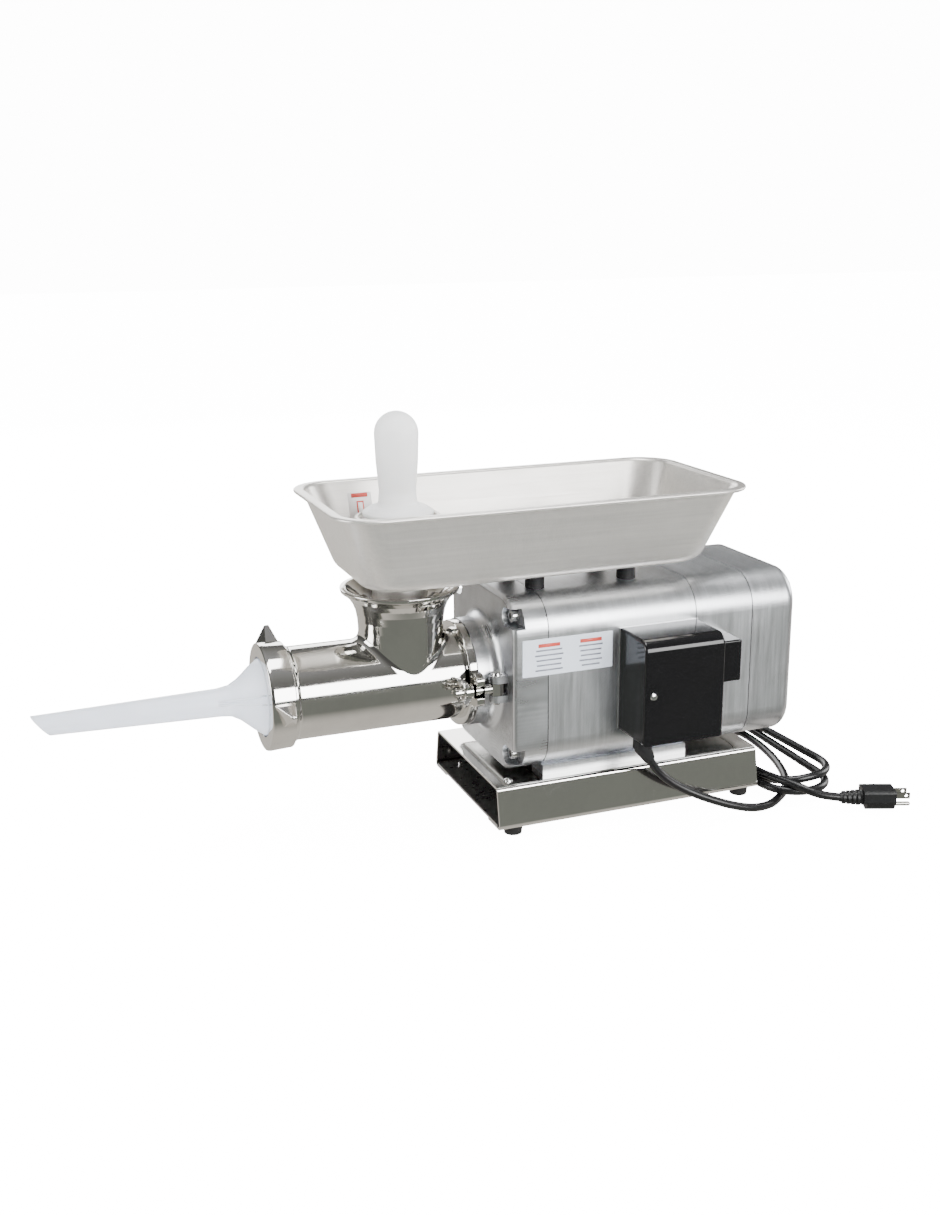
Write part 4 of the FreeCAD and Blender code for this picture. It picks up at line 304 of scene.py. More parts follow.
def plastic(name, colour, roughness=0.35, relief=0.08, coat=0.0, sheen_step=0.06, specular=0.5, soft=0.0,
            pit_size=900.0):
    """Moulded plastic or rubber with a fine skin."""
    material, tree, shader = start_material(name)
    skin = place_group(tree, grain_group(), Pit_size=pit_size, Wave_size=30.0)
    marks = place_group(tree, handling_group(), Smudge_size=22.0, Scratch_size=48.0)
    tree.links.new(blend_colour(tree, skin.outputs["Waves"], shade(colour, 0.94), shade(colour, 1.05)),
                   shader.inputs["Base Color"])
    rough = maths(tree, "MULTIPLY_ADD", marks.outputs["Smudges"], sheen_step, roughness)
    rough = maths(tree, "MULTIPLY_ADD", marks.outputs["Scratches"], sheen_step * 2, rough)
    tree.links.new(rough, shader.inputs["Roughness"])
    shader.inputs["Coat Weight"].default_value = coat
    shader.inputs["Coat Roughness"].default_value = 0.04
    shader.inputs["Specular IOR Level"].default_value = specular
    if soft:
        shader.inputs["Subsurface Weight"].default_value = soft
        shader.inputs["Subsurface Radius"].default_value = (0.006, 0.005, 0.0045)
    bump(tree, shader, skin.outputs["Pits"], relief)
    return material


def turned_cover(name, colour):
    """Satin casting with a machined front that shows fine turning rings round the shaft; the front is painted
    darker, a painted reflection.
    """
    material, tree, shader = start_material(name)
    place = object_place(tree)
    _, across, height = parts_of(tree, place)
    upright = maths(tree, "SUBTRACT", height, AXIS)
    squares = maths(tree, "MULTIPLY_ADD", across, across, maths(tree, "MULTIPLY", upright, upright))
    rings = maths(tree, "SINE", maths(tree, "MULTIPLY", maths(tree, "SQRT", squares), 4200.0))
    cloud = noise(tree, place, 26.0, 3.0)
    tone = maths(tree, "MULTIPLY_ADD", rings, 0.10, cloud)
    # Painted reflection: faces turned to the front (-X) get a darker colour, standing in for the dark
    # surroundings a polished face mirrors; the rings there are real turning marks.
    facing = parts_of(tree, tree.nodes.new("ShaderNodeNewGeometry").outputs["Normal"])
    front = spread_range(tree, facing["X"], -0.90, -0.985, 0.0, 1.0)
    mix = tree.nodes.new("ShaderNodeMix")
    mix.data_type = "RGBA"
    tree.links.new(front, mix.inputs["Factor"])
    tree.links.new(blend_colour(tree, tone, shade(colour, 0.90), shade(colour, 1.05)), mix.inputs["A"])
    tree.links.new(blend_colour(tree, spread_range(tree, tone, 0.3, 0.7, 0.0, 1.0), shade(colour, 0.42),
                                shade(colour, 0.62)), mix.inputs["B"])
    tree.links.new(mix.outputs["Result"], shader.inputs["Base Color"])
    tree.links.new(spread_range(tree, tone, 0.25, 0.8, 0.27, 0.38), shader.inputs["Roughness"])
    shader.inputs["Metallic"].default_value = 1.0
    bump(tree, shader, maths(tree, "MULTIPLY", rings, front), 0.25)
    return material


def finish_named(name):
    """The finishes of this machine, by a maker's plain names."""
    look = colours()
    polished, motor, black, white = map(tuple, (look.polished, look.motor, look.black, look.white))
    makers = {
        "Polished casting": lambda: polished_metal(name, polished, 0.07, 0.06, 22.0),
        "Polished sheet": lambda: polished_metal(name, shade(polished, 1.02), 0.05, 0.015, 9.0),
        "Brushed tray steel": lambda: brushed_metal(
            name, tuple(look.tray), (10.0, 420.0, 420.0), 0.34, 0.30, 1.0, 0.25, 0.80, 0.06),
        "Satin motor aluminium": lambda: brushed_metal(
            name, motor, (520.0, 16.0, 16.0), 0.33, 0.30, 1.0, 0.18, contrast=0.08),
        "Turned cover": lambda: turned_cover(name, motor),
        "Bright fastener": lambda: polished_metal(name, (0.74, 0.74, 0.73), 0.16, 0.03, 60.0),
        "Machined steel": lambda: brushed_metal(
            name, (0.52, 0.52, 0.52), (160.0, 160.0, 160.0), 0.28, 0.15, 1.0, 0.3),
        "Lacquered laminations": lambda: brushed_metal(
            name, (0.16, 0.16, 0.17), (900.0, 5.0, 5.0), 0.45, 0.5, 1.0, 0.3, 0.6),
        "Enamelled copper": lambda: brushed_metal(
            name, (0.55, 0.24, 0.10), (120.0, 500.0, 500.0), 0.35, 0.6, 1.0, 0.2),
        "White food plastic": lambda: plastic(name, white, 0.42, 0.05, 0.0, 0.08, 0.5, 0.25),
        "White tube plastic": lambda: plastic(
            name, (0.77, 0.81, 0.89), 0.32, 0.04, 0.0, 0.06, 0.5, 0.35),
        "Plain grey plastic": lambda: plastic(name, (0.30, 0.31, 0.33), 0.5, 0.15),
        "Black box enamel": lambda: plastic(name, black, 0.09, 0.015, 0.0, 0.05, 0.45, 0.0, 300.0),
        "Black rubber": lambda: plastic(name, shade(black, 1.6), 0.55, 0.30, 0.0, 0.10, 0.4, 0.0, 700.0),
        "Cord jacket": lambda: plastic(name, black, 0.30, 0.10, 0.0, 0.10, 0.5, 0.0, 600.0),
        "Plug moulding": lambda: plastic(name, black, 0.38, 0.35, 0.0, 0.08, 0.5, 0.0, 1100.0),
        "Dark gasket": lambda: plastic(name, (0.03, 0.03, 0.032), 0.6, 0.2),
        "Plated brass": lambda: polished_metal(name, (0.55, 0.54, 0.50), 0.18, 0.03, 80.0),
        "Label film": lambda: plastic(name, tuple(look.label), 0.30, 0.02, 0.2, 0.05),
        "Label red": lambda: plastic(name, (0.55, 0.07, 0.05), 0.35, 0.02),
        "Label grey": lambda: plastic(name, (0.20, 0.21, 0.24), 0.35, 0.02),
        "Sticker film": lambda: plastic(name, (0.80, 0.77, 0.76), 0.35, 0.02),
    }
    return bpy.data.materials.get(name) or makers[name]()


# ---------------------------------------------------------------- mesh helpers
def make_piece(name, mesh, body, finish, slot=None, stands_for=()):
    """Puts a mesh into the scene as a piece that rides on a body."""
    item = bpy.data.objects.new(name, mesh)
    bpy.context.scene.collection.objects.link(item)
    mesh.materials.append(finish_named(finish))
    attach(item, body)
    if stands_for:
        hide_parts(*stands_for)
    return item


def polished_piece(name, mesh, body, *stands_for):
    """A piece with the mirror finish of the castings."""
    return make_piece(name, mesh, body, "Polished casting", "polished_stainless", stands_for)


def mesh_from(name, points, faces):
    mesh = bpy.data.meshes.new(name)
    mesh.from_pydata([tuple(p) for p in points], [], faces)
    mesh.validate()
    work = bmesh.new()
    work.from_mesh(mesh)
    bmesh.ops.remove_doubles(work, verts=work.verts, dist=1e-6)
    bmesh.ops.recalc_face_normals(work, faces=work.faces)
    work.to_mesh(mesh)
    work.free()
    return all_smooth(mesh)


def all_smooth(mesh):
    mesh.polygons.foreach_set("use_smooth", [True] * len(mesh.polygons))
    return mesh


def keep_flats(item):
    """Flat faces stay flat and rounded edges stay smooth on the item."""
    modifier = item.modifiers.new("Flat faces", "WEIGHTED_NORMAL")
    modifier.mode = "FACE_AREA"
    modifier.weight = 90
    modifier.keep_sharp = True


def rounded_path(points, radius, steps=4, closed=True):
    """A polygon with its corners rounded; radius is one number or one for each corner."""
    points = [Vector(p) for p in points]
    count = len(points)
    radii = radius if isinstance(radius, (list, tuple)) else [radius] * count
    result = []
    for number, corner in enumerate(points):
        if not closed and number in (0, count - 1):
            result.append(corner)
            continue
        back = points[number - 1] - corner
        ahead = points[(number + 1) % count] - corner
        bend = radii[number]
        turn = math.pi - back.angle(ahead, 0.0)
        if bend <= 0 or turn < 0.02:
            result.append(corner)
            continue
        reach = min(bend * math.tan(turn / 2), 0.49 * back.length, 0.49 * ahead.length)
        start = corner + back.normalized() * reach
        end = corner + ahead.normalized() * reach
        for step in range(steps + 1):
            along = step / steps
            first = start.lerp(corner, along)
            second = corner.lerp(end, along)
            result.append(first.lerp(second, along))
    return result


def arc_points(centre, radius, start, end, steps):
    """Points of an arc; 90 degrees is the side away from the axis."""
    turns = [math.radians(start + (end - start) * step / steps) for step in range(steps + 1)]
    return [Vector((centre[0] + radius * math.cos(t), centre[1] + radius * math.sin(t))) for t in turns]


def turned_mesh(name, outline, at, axis="X", steps=None):
    """A closed outline of (along, radius) turned round an axis through the point at."""
    steps = steps or sizes().round_steps
    count = len(outline)
    points, faces = [], []
    for turn in range(steps):
        angle = 2 * math.pi * turn / steps
        across, up = math.cos(angle), math.sin(angle)
        for along, radius in outline:
            if axis == "X":
                points.append((at[0] + along, at[1] + radius * across, at[2] + radius * up))
            else:
                points.append((at[0] + radius * across, at[1] + radius * up, at[2] + along))
    for turn in range(steps):
        here, there = turn * count, ((turn + 1) % steps) * count
        for number in range(count):
            other = (number + 1) % count
            faces.append([here + number, here + other, there + other, there + number])
    return mesh_from(name, points, faces)


def drawn_mesh(name, outline, start, end, edge=0.0004):
    """An outline of (y, z) drawn along X, with its end edges softened."""
    count = len(outline)
    normals = []
    for number in range(count):
        along = Vector(outline[(number + 1) % count]) - Vector(outline[number - 1])
        normals.append(Vector((along.y, -along.x)).normalized())
    area = sum(a[0] * b[1] - b[0] * a[1] for a, b in zip(outline, outline[1:] + outline[:1]))
    inward = -1.0 if area > 0 else 1.0
    rings = [(start, edge), (start + edge * 0.3, edge * 0.3), (start + edge, 0.0),
             (end - edge, 0.0), (end - edge * 0.3, edge * 0.3), (end, edge)]
    points = []
    for x, inset in rings:
        for (y, z), normal in zip(outline, normals):
            points.append((x, y + normal.x * inward * inset, z + normal.y * inward * inset))
    faces = []
    for ring in range(len(rings) - 1):
        for number in range(count):
            other = (number + 1) % count
            a, b = ring * count, (ring + 1) * count
            faces.append([a + number, a + other, b + other, b + number])
    faces.append(list(range(count)))
    faces.append(list(range((len(rings) - 1) * count, len(rings) * count)))
    return mesh_from(name, points, faces)


def block_mesh(name, corners):
    """Eight corners, lower four then upper four, as a six-sided block."""
    faces = [(0, 1, 2, 3), (4, 5, 6, 7), (0, 1, 5, 4), (1, 2, 6, 5), (2, 3, 7, 6), (3, 0, 4, 7)]
    return mesh_from(name, corners, faces)


def wrapped_mesh(name, corners):
    """The tight skin round a handful of corners."""
    work = bmesh.new()
    for corner in corners:
        work.verts.new(corner)
    hull = bmesh.ops.convex_hull(work, input=work.verts)
    unused = [item for item in hull["geom_interior"] if isinstance(item, bmesh.types.BMVert)]
    bmesh.ops.delete(work, geom=unused, context="VERTS")
    bmesh.ops.dissolve_limit(work, angle_limit=math.radians(2), verts=work.verts, edges=work.edges)
    bmesh.ops.recalc_face_normals(work, faces=work.faces)
    mesh = bpy.data.meshes.new(name)
    work.to_mesh(mesh)
    work.free()
    return all_smooth(mesh)


def soften(item):
    """Rounds the item's sharp edges a little."""
    modifier = item.modifiers.new("Soft edges", "BEVEL")
    modifier.width = 0.0009
    modifier.segments = 4
    modifier.limit_method = "ANGLE"
    modifier.angle_limit = math.radians(25)
    keep_flats(item)


def applied_mesh(item):
    """The item's mesh with its modifiers worked in; the item itself is removed."""
    graph = bpy.context.evaluated_depsgraph_get()
    mesh = bpy.data.meshes.new_from_object(item.evaluated_get(graph))
    bpy.data.objects.remove(item)
    return mesh


def loose_object(mesh):
    item = bpy.data.objects.new(mesh.name + "_work", mesh)
    bpy.context.scene.collection.objects.link(item)
    return item


def boolean(item, other, operation):
    modifier = item.modifiers.new(operation, "BOOLEAN")
    modifier.operation = operation
    modifier.solver = "EXACT"
    modifier.object = other


# ---------------------------------------------------------------- grinder head
class GRINDER_OT_head(bpy.types.Operator):
    """Shapes the polished head casting: barrel, throat with its collar, and clamping flange."""

    bl_idname = "grinder.head"
    bl_label = "Head casting"

    barrel_radius = 0.0477
    mouth_radius = 0.0500
    mouth_length = 0.018
    mouth_taper = 0.004
    bore_radius = 0.0412
    bore_floor = 0.013
    neck_radius = 0.0440
    rim_radius = 0.0615
    well_radius = 0.0365
    flange_thick = 0.009
    flange_radius = 0.056
    seat_depth = 0.004
    work_steps = 96
    # Outside of the throat and of its well: height above the bench, radius.
    throat_radii = (
        (0.150, 0.0440), (0.2150, 0.0440), (0.2240, 0.0446), (0.2330, 0.0462), (0.2405, 0.0490),
        (0.2465, 0.0528), (0.2505, 0.0570), (0.2532, 0.0608), (0.2600, 0.0622),
    )
    well_radii = (
        (0.150, 0.0365), (0.2150, 0.0365), (0.2260, 0.0374), (0.2350, 0.0395), (0.2430, 0.0432),
        (0.2500, 0.0490), (0.2573, 0.0558), (0.2600, 0.0585),
    )

    def execute(self, context):
        low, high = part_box("grinder_head")
        self.front = low.x
        self.back = high.x
        self.top = high.z
        self.throat = node_middle("feed_pusher").x
        self.make_casting()
        self.make_flange()
        return {"FINISHED"}

    def surface(self, place):
        """Below zero in the metal: a smooth join of barrel and throat, less the bores."""
        x, y, z = place[:, 0], place[:, 1], place[:, 2] - AXIS
        out = np.sqrt(y * y + z * z)
        mouth = np.clip((self.front + 0.0215 - x) / self.mouth_taper, 0.0, 1.0)
        swell = self.mouth_radius - self.barrel_radius
        radius = self.barrel_radius + swell * mouth * mouth * (3 - 2 * mouth)
        barrel = out - radius
        across = np.sqrt((x - self.throat) ** 2 + y * y)
        heights, radii = zip(*self.throat_radii)
        throat = across - np.interp(place[:, 2], heights, radii)
        throat = np.maximum(throat, -z)
        crossing = 1.0 - y * y / np.maximum(across * out, 1e-6)
        blend = 0.0012 + 0.0085 * np.clip(crossing, 0.0, 1.0)
        mix = np.clip(0.5 + 0.5 * (throat - barrel) / blend, 0.0, 1.0)
        outer = throat * (1 - mix) + barrel * mix - blend * mix * (1 - mix)
        outer = self.smooth_most(outer, place[:, 2] - self.top, 0.0015)
        outer = self.smooth_most(outer, self.front - x, 0.0008)
        outer = self.smooth_most(outer, x - (self.back - self.seat_depth), 0.0008)
        heights, radii = zip(*self.well_radii)
        well = across - np.interp(place[:, 2], heights, radii)
        well = np.maximum(well, -z)
        bore = np.maximum(out - self.bore_radius, x - (self.back - self.bore_floor))
        hollow = np.minimum(well, bore)
        return self.smooth_most(outer, -hollow, 0.0012)

    @staticmethod
    def smooth_most(first, second, blend):
        mix = np.clip(0.5 - 0.5 * (second - first) / blend, 0.0, 1.0)
        return second * (1 - mix) + first * mix + blend * mix * (1 - mix)

    def make_casting(self):
        front, back, steps = self.front, self.back, self.work_steps
        seat, stop = back - self.seat_depth, back - self.bore_floor
        at, above = (0.0, 0.0, AXIS), (self.throat, 0.0, 0.0)
        outside = [(front, 0.0), (front, self.mouth_radius), (front + self.mouth_length, self.mouth_radius),
                   (front + self.mouth_length + self.mouth_taper, self.barrel_radius),
                   (seat, self.barrel_radius), (seat, 0.0)]
        solid = loose_object(turned_mesh("barrel", outside, at, "X", steps))
        upright = [(AXIS, 0.0), (AXIS, self.neck_radius), *self.throat_radii[1:-1],
                   (self.top, self.rim_radius), (self.top, 0.0)]
        throat = loose_object(turned_mesh("throat", upright, above, "Z", steps))
        hole = [(front - 0.01, 0.0), (front - 0.01, self.bore_radius), (stop, self.bore_radius), (stop, 0.0)]
        bore = loose_object(turned_mesh("bore", hole, at, "X", steps))
        deep = [(AXIS, 0.0), (AXIS, self.well_radius), *self.well_radii[1:], (self.well_radii[-1][0], 0.0)]
        well = loose_object(turned_mesh("well", deep, above, "Z", steps))
        boolean(solid, throat, "UNION")
        boolean(solid, bore, "DIFFERENCE")
        boolean(solid, well, "DIFFERENCE")
        remesh = solid.modifiers.new("Even cells", "REMESH")
        remesh.mode = "VOXEL"
        remesh.voxel_size = sizes().casting_grain
        mesh = applied_mesh(solid)
        for item in (throat, bore, well):
            bpy.data.objects.remove(item)
        mesh.name = "head_casting"
        self.draw_to_surface(mesh)
        polished_piece("head_casting", mesh, "motor_base", "grinder_head")

    def draw_to_surface(self, mesh):
        """Moves every point onto the smooth surface and gives it that surface's own normal."""
        count = len(mesh.vertices)
        place = np.zeros(count * 3)
        mesh.vertices.foreach_get("co", place)
        place = place.reshape(-1, 3)
        step, passes, longest_move = 0.0002, 6, 0.0008
        offsets = np.eye(3) * step

        def gradient():
            parts = [self.surface(place + offset) - self.surface(place - offset) for offset in offsets]
            return np.stack(parts, axis=1) / (2 * step)

        for _ in range(passes):
            slope = gradient()
            steep = np.maximum((slope ** 2).sum(axis=1), 0.25)
            move = (self.surface(place) / steep)[:, None] * slope
            length = np.linalg.norm(move, axis=1, keepdims=True)
            move *= np.minimum(1.0, longest_move / np.maximum(length, 1e-9))
            place = place - move
        mesh.vertices.foreach_set("co", place.ravel())
        slope = gradient()
        slope /= np.maximum(np.linalg.norm(slope, axis=1, keepdims=True), 1e-9)
        all_smooth(mesh)
        mesh.normals_split_custom_set_from_vertices([tuple(normal) for normal in slope])
        mesh.update()

    def make_flange(self):
        """The clamping flange, its two side lugs and their notches."""
        thick = (self.back - self.flange_thick, self.back)
        wide, inside = self.flange_radius, 0.040
        disc = [(thick[0], inside), (thick[0], wide), (thick[1], wide), (thick[1], inside)]
        disc = rounded_path(disc, [0.0, 0.0018, 0.0008, 0.0], 5)
        polished_piece("head_flange", turned_mesh("head_flange", disc, (0, 0, AXIS)), "motor_base")
        for side, word in ((-1, "near"), (1, "far")):
            outline = [
                (0.044, 0.0185), (0.0655, 0.0175), (0.0730, 0.0140), (0.0730, 0.0062), (0.0590, 0.0062),
                (0.0590, -0.0062), (0.0730, -0.0062), (0.0730, -0.0140), (0.0655, -0.0175), (0.044, -0.0185),
            ]
            path = rounded_path([(y * side, AXIS + z) for y, z in outline],
                                [0.0, 0.006, 0.005, 0.0012, 0.004, 0.004, 0.0012, 0.005, 0.006, 0.0], 5)
            if side < 0:
                path.reverse()
            mesh = drawn_mesh(f"flange_lug_{word}", path, *thick, 0.0010)
            keep_flats(polished_piece(f"flange_lug_{word}", mesh, "motor_base"))


class GRINDER_OT_ring_nut(bpy.types.Operator):
    """Shapes the ring nut with its three pointed lugs."""

    bl_idname = "grinder.ring_nut"
    bl_label = "Ring nut"

    def execute(self, context):
        low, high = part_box("ring_nut")
        front, back = low.x, high.x
        lip = front + 0.006
        outline = [
            (front, 0.0405), (front, 0.0545), (front + 0.0035, 0.0550), (back - 0.0005, 0.0540),
            (back, 0.0505), (lip, 0.0503), (lip, 0.0405),
        ]
        path = rounded_path(outline, [0.0007, 0.0022, 0.004, 0.0014, 0.0005, 0.0004, 0.0004], 5)
        mesh = turned_mesh("ring_nut_band", path, (0, 0, AXIS))
        keep_flats(polished_piece("ring_nut_band", mesh, "clamp_ring", "ring_nut"))
        foot, tip = 0.0520, 0.0732
        corners = [
            (front + 0.0012, 0.0095, foot), (front + 0.0012, 0.0055, foot),
            (front + 0.0100, -0.0175, foot - 0.002), (back - 0.0020, -0.0175, foot - 0.002),
            (back - 0.0020, 0.0095, foot), (front + 0.0150, -0.0012, tip), (front + 0.0150, 0.0012, tip),
            (front + 0.0195, 0.0012, tip), (front + 0.0195, -0.0012, tip),
        ]
        for number in range(3):
            turn = Matrix.Translation((0, 0, AXIS)) @ Matrix.Rotation(math.radians(120 * number - 30), 4, "X")
            mesh = wrapped_mesh(f"ring_nut_lug_{number}", [turn @ Vector(p) for p in corners])
            soften(polished_piece(f"ring_nut_lug_{number}", mesh, "clamp_ring"))
        return {"FINISHED"}


# ---------------------------------------------------------------- tray
class GRINDER_OT_tray(bpy.types.Operator):
    """Shapes the pressed tray with its rolled rim and spout."""

    bl_idname = "grinder.tray"
    bl_label = "Tray"

    rim_width = 0.008
    wall_slope = 0.028
    floor_round = 0.016
    corner_radius = 0.0435
    corner_steps = 16
    spout_radius = 0.0285

    def execute(self, context):
        low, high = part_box("food_tray")
        self.low, self.high = low, high
        self.half = Vector(((high.x - low.x) / 2, (high.y - low.y) / 2))
        self.centre = (low + high) / 2
        sheet = sizes().sheet
        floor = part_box("tray_posts")[1].z + 0.0003
        top = high.z
        outer = self.section(top, floor, self.floor_round, 0.0055, 0.0)
        inner = self.section(top, floor, self.floor_round - sheet, 0.0055 - sheet, sheet)
        rim_out = [(0.0022, top - 0.0040), (0.0008, top - 0.0036), (0.0000, top - 0.0022),
                   (0.0002, top - 0.0009), (0.0012, top - 0.0001), (0.0026, top)]
        path = inner[::-1] + rim_out[::-1] + [(0.0024, top - 0.0025)] + outer
        finish = ("Brushed tray steel", "brushed_stainless")
        tray = make_piece("tray_bowl", self.loft(path), "tray", *finish, ("food_tray",))
        throat = node_middle("feed_pusher").x
        wide, join = self.spout_radius, floor + 0.0006
        inside = wide - sheet
        spout = rounded_path([(low.z, inside), (low.z, wide), (join, wide), (join, inside)], 0.0006, 3)
        make_piece("tray_spout", turned_mesh("tray_spout", spout, (throat, 0, 0), "Z", 96), "tray", *finish)
        self.cut_spout(tray, throat, floor)
        return {"FINISHED"}

    def cut_spout(self, tray, throat, floor):
        hole = [(floor - 0.01, 0.0), (floor - 0.01, 0.0272), (floor + 0.008, 0.0272), (floor + 0.008, 0.0)]
        drill = loose_object(turned_mesh("spout_drill", hole, (throat, 0, 0), "Z", 96))
        boolean(tray, drill, "DIFFERENCE")
        graph = bpy.context.evaluated_depsgraph_get()
        mesh = bpy.data.meshes.new_from_object(tray.evaluated_get(graph))
        tray.modifiers.clear()
        tray.data = mesh
        bpy.data.objects.remove(drill)
        keep_flats(tray)

    def section(self, top, floor, floor_round, rim_round, lift):
        """(inset, height) from the rim down to the floor, lifted by the sheet for the inside."""
        lean = self.wall_slope / (top - floor)
        side = lift / math.cos(math.atan(lean))
        foot = self.rim_width + self.wall_slope
        rim = top - 0.0015 + lift
        line = [
            (0.0026, rim), (self.rim_width + side + lean * 0.0015, rim),
            (foot + side - lean * lift, floor + lift), (foot + 0.030, floor + lift),
        ]
        return [tuple(p) for p in rounded_path(line, [0.0, rim_round, floor_round, 0.0], 9, False)]

    def loft(self, path):
        """Rings of a rounded rectangle, one for each (inset, height), closed at the floor."""
        points, rings = [], []
        for inset, height in path:
            ring = self.plan(inset, self.corner_radius - min(inset, 0.0095) * 0.95)
            rings.append((len(points), len(ring)))
            points += [(x, y, height) for x, y in ring]
        faces = []
        for (first, count), (second, _) in zip(rings, rings[1:]):
            for number in range(count):
                other = (number + 1) % count
                faces.append([first + number, first + other, second + other, second + number])
        for start, count in (rings[0], rings[-1]):
            faces.append(list(range(start, start + count)))
        return mesh_from("tray_bowl", points, faces)

    def plan(self, inset, corner):
        ring = []
        half_x, half_y = self.half.x - inset, self.half.y - inset
        for quarter, (sx, sy) in enumerate(((1, 1), (-1, 1), (-1, -1), (1, -1))):
            for step in range(self.corner_steps + 1):
                angle = math.pi / 2 * (quarter + step / self.corner_steps)
                x = sx * (half_x - corner) + corner * math.cos(angle)
                y = sy * (half_y - corner) + corner * math.sin(angle)
                ring.append((self.centre.x + x, self.centre.y + y))
        return ring


# ---------------------------------------------------------------- base
class GRINDER_OT_base(bpy.types.Operator):
    """Shapes the folded base, open at both ends, in mirror sheet."""

    bl_idname = "grinder.base"
    bl_label = "Folded base"

    def execute(self, context):
        low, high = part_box("base_channel")
        sheet = sizes().base_sheet
        bottom_half, top_half = 0.0977, 0.0900
        lip = bottom_half - 0.034
        line = [
            (lip, low.z + sheet / 2), (bottom_half - sheet / 2, low.z + sheet / 2),
            (top_half - sheet / 2, high.z - sheet / 2), (-top_half + sheet / 2, high.z - sheet / 2),
            (-bottom_half + sheet / 2, low.z + sheet / 2), (-lip, low.z + sheet / 2),
        ]
        centre = rounded_path(line, [0.0, 0.0037, 0.0037, 0.0037, 0.0037, 0.0], 8, False)
        left, right = [], []
        for number, spot in enumerate(centre):
            before = centre[max(number - 1, 0)]
            after = centre[min(number + 1, len(centre) - 1)]
            along = (after - before).normalized()
            across = Vector((-along.y, along.x)) * sheet / 2
            left.append(spot + across)
            right.append(spot - across)
        mesh = drawn_mesh("base_shell", left + right[::-1], low.x, high.x)
        shell = make_piece("base_shell", mesh, "motor_base", "Polished sheet", "polished_stainless",
                           ("base_channel",))
        keep_flats(shell)
        return {"FINISHED"}


# ---------------------------------------------------------------- white plastic pieces
class GRINDER_OT_plastics(bpy.types.Operator):
    """Shapes the pusher and the stuffing tube with the ribs on its cone."""

    bl_idname = "grinder.plastics"
    bl_label = "White plastic pieces"

    def execute(self, context):
        self.make_pusher()
        self.make_tube()
        return {"FINISHED"}

    def make_pusher(self):
        low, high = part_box("feed_pusher")
        at = node_middle("feed_pusher").x
        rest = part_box("feed_guard")[1].z + 0.0003
        knob = 0.0222
        outline = [
            (low.z, 0.0), (low.z, 0.0235), (rest - 0.004, 0.0235), (rest, 0.0265), (rest, 0.0360),
            (rest + 0.0042, 0.0360), (rest + 0.0085, 0.0290), (rest + 0.0105, 0.0200), (rest + 0.024, 0.0186),
            (high.z - 0.050, 0.0212), (high.z - knob, knob),
        ]
        radii = [0.0, 0.0022, 0.006, 0.0005, 0.0018, 0.0022, 0.0050, 0.0080, 0.03, 0.05, 0.0]
        path = rounded_path(outline, radii, 8)
        path += arc_points((high.z - knob, 0.0), knob, 78, 0, 14)
        mesh = turned_mesh("pusher", path, (at, 0, 0), "Z")
        make_piece("pusher", mesh, "pusher", "White food plastic", "white_plastic", ("feed_pusher",))

    def make_tube(self):
        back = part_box("stuffing_tube")[1].x
        nut_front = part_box("ring_nut")[0].x
        lip_back = nut_front + 0.006
        tip = nut_front - 0.221
        wall = 0.0018
        tip_radius = 0.0103
        cone_end = nut_front - 0.031
        outer = [
            (back, 0.0496), (lip_back + 0.0003, 0.0496), (lip_back + 0.0003, 0.0392), (nut_front, 0.0385),
            (nut_front - 0.008, 0.0325), (nut_front - 0.022, 0.0204), (cone_end, 0.0154),
            (cone_end - 0.010, 0.0143), (tip, tip_radius),
        ]
        inner = [(x, radius - wall) for x, radius in reversed(outer[4:])] + [(back, 0.0368)]
        radii = [0.0004, 0.0004, 0.0003, 0.001, 0.02, 0.016, 0.012, 0.03, 0.0007,
                 0.0007, 0.03, 0.012, 0.016, 0.02, 0.0]
        tube = loose_object(turned_mesh("tube", rounded_path(outer + inner, radii, 6), (0, 0, AXIS)))
        overhang = 0.017
        slant = math.atan2(overhang, 2 * tip_radius)
        length, half, reach = 0.12, 0.03, 0.06
        around = ((-length, -half), (0, -half), (0, half), (-length, half))
        blade_corners = [(x, y, z) for z in (-reach, reach) for x, y in around]
        lean = Matrix.Translation((tip + overhang / 2, 0, AXIS)) @ Matrix.Rotation(-slant, 4, "Y")
        blade = loose_object(block_mesh("tube_blade", [lean @ Vector(p) for p in blade_corners]))
        boolean(tube, blade, "DIFFERENCE")
        mesh = applied_mesh(tube)
        bpy.data.objects.remove(blade)
        mesh.name = "white_tube"
        keep_flats(make_piece("white_tube", all_smooth(mesh), "stuffing", "White tube plastic",
                              "white_plastic", ("stuffing_tube",)))
        self.make_ribs(nut_front, cone_end)

    def make_ribs(self, nut_front, cone_end):
        """Thin raised lines down the cone."""
        line = [(nut_front - 0.0012, 0.0376), (nut_front - 0.008, 0.0325), (nut_front - 0.015, 0.0262),
                (nut_front - 0.022, 0.0206), (cone_end, 0.0156), (cone_end - 0.014, 0.0143)]
        for number in range(6):
            angle = math.radians(160 + 14 * (number % 2) + 120 * (number // 2))
            out = Vector((0, math.cos(angle), math.sin(angle)))
            side = Vector((0, -math.sin(angle), math.cos(angle)))
            points, faces = [], []
            for place, (x, radius) in enumerate(line):
                fade = 0.0 if place in (0, len(line) - 1) else 1.0
                for across, proud in ((-0.0014, -0.0006), (-0.0006, 0.0011 * fade), (0.0006, 0.0011 * fade),
                                      (0.0014, -0.0006)):
                    points.append(Vector((x, 0, AXIS)) + out * (radius + proud) + side * across)
            for place in range(len(line) - 1):
                a, b = place * 4, place * 4 + 4
                for step in range(4):
                    other = (step + 1) % 4
                    faces.append([a + step, a + other, b + other, b + step])
            faces.append([0, 1, 2, 3])
            faces.append([len(points) - 4 + step for step in range(4)])
            make_piece(f"tube_rib_{number}", mesh_from(f"tube_rib_{number}", points, faces), "stuffing",
                       "White tube plastic", "white_plastic")


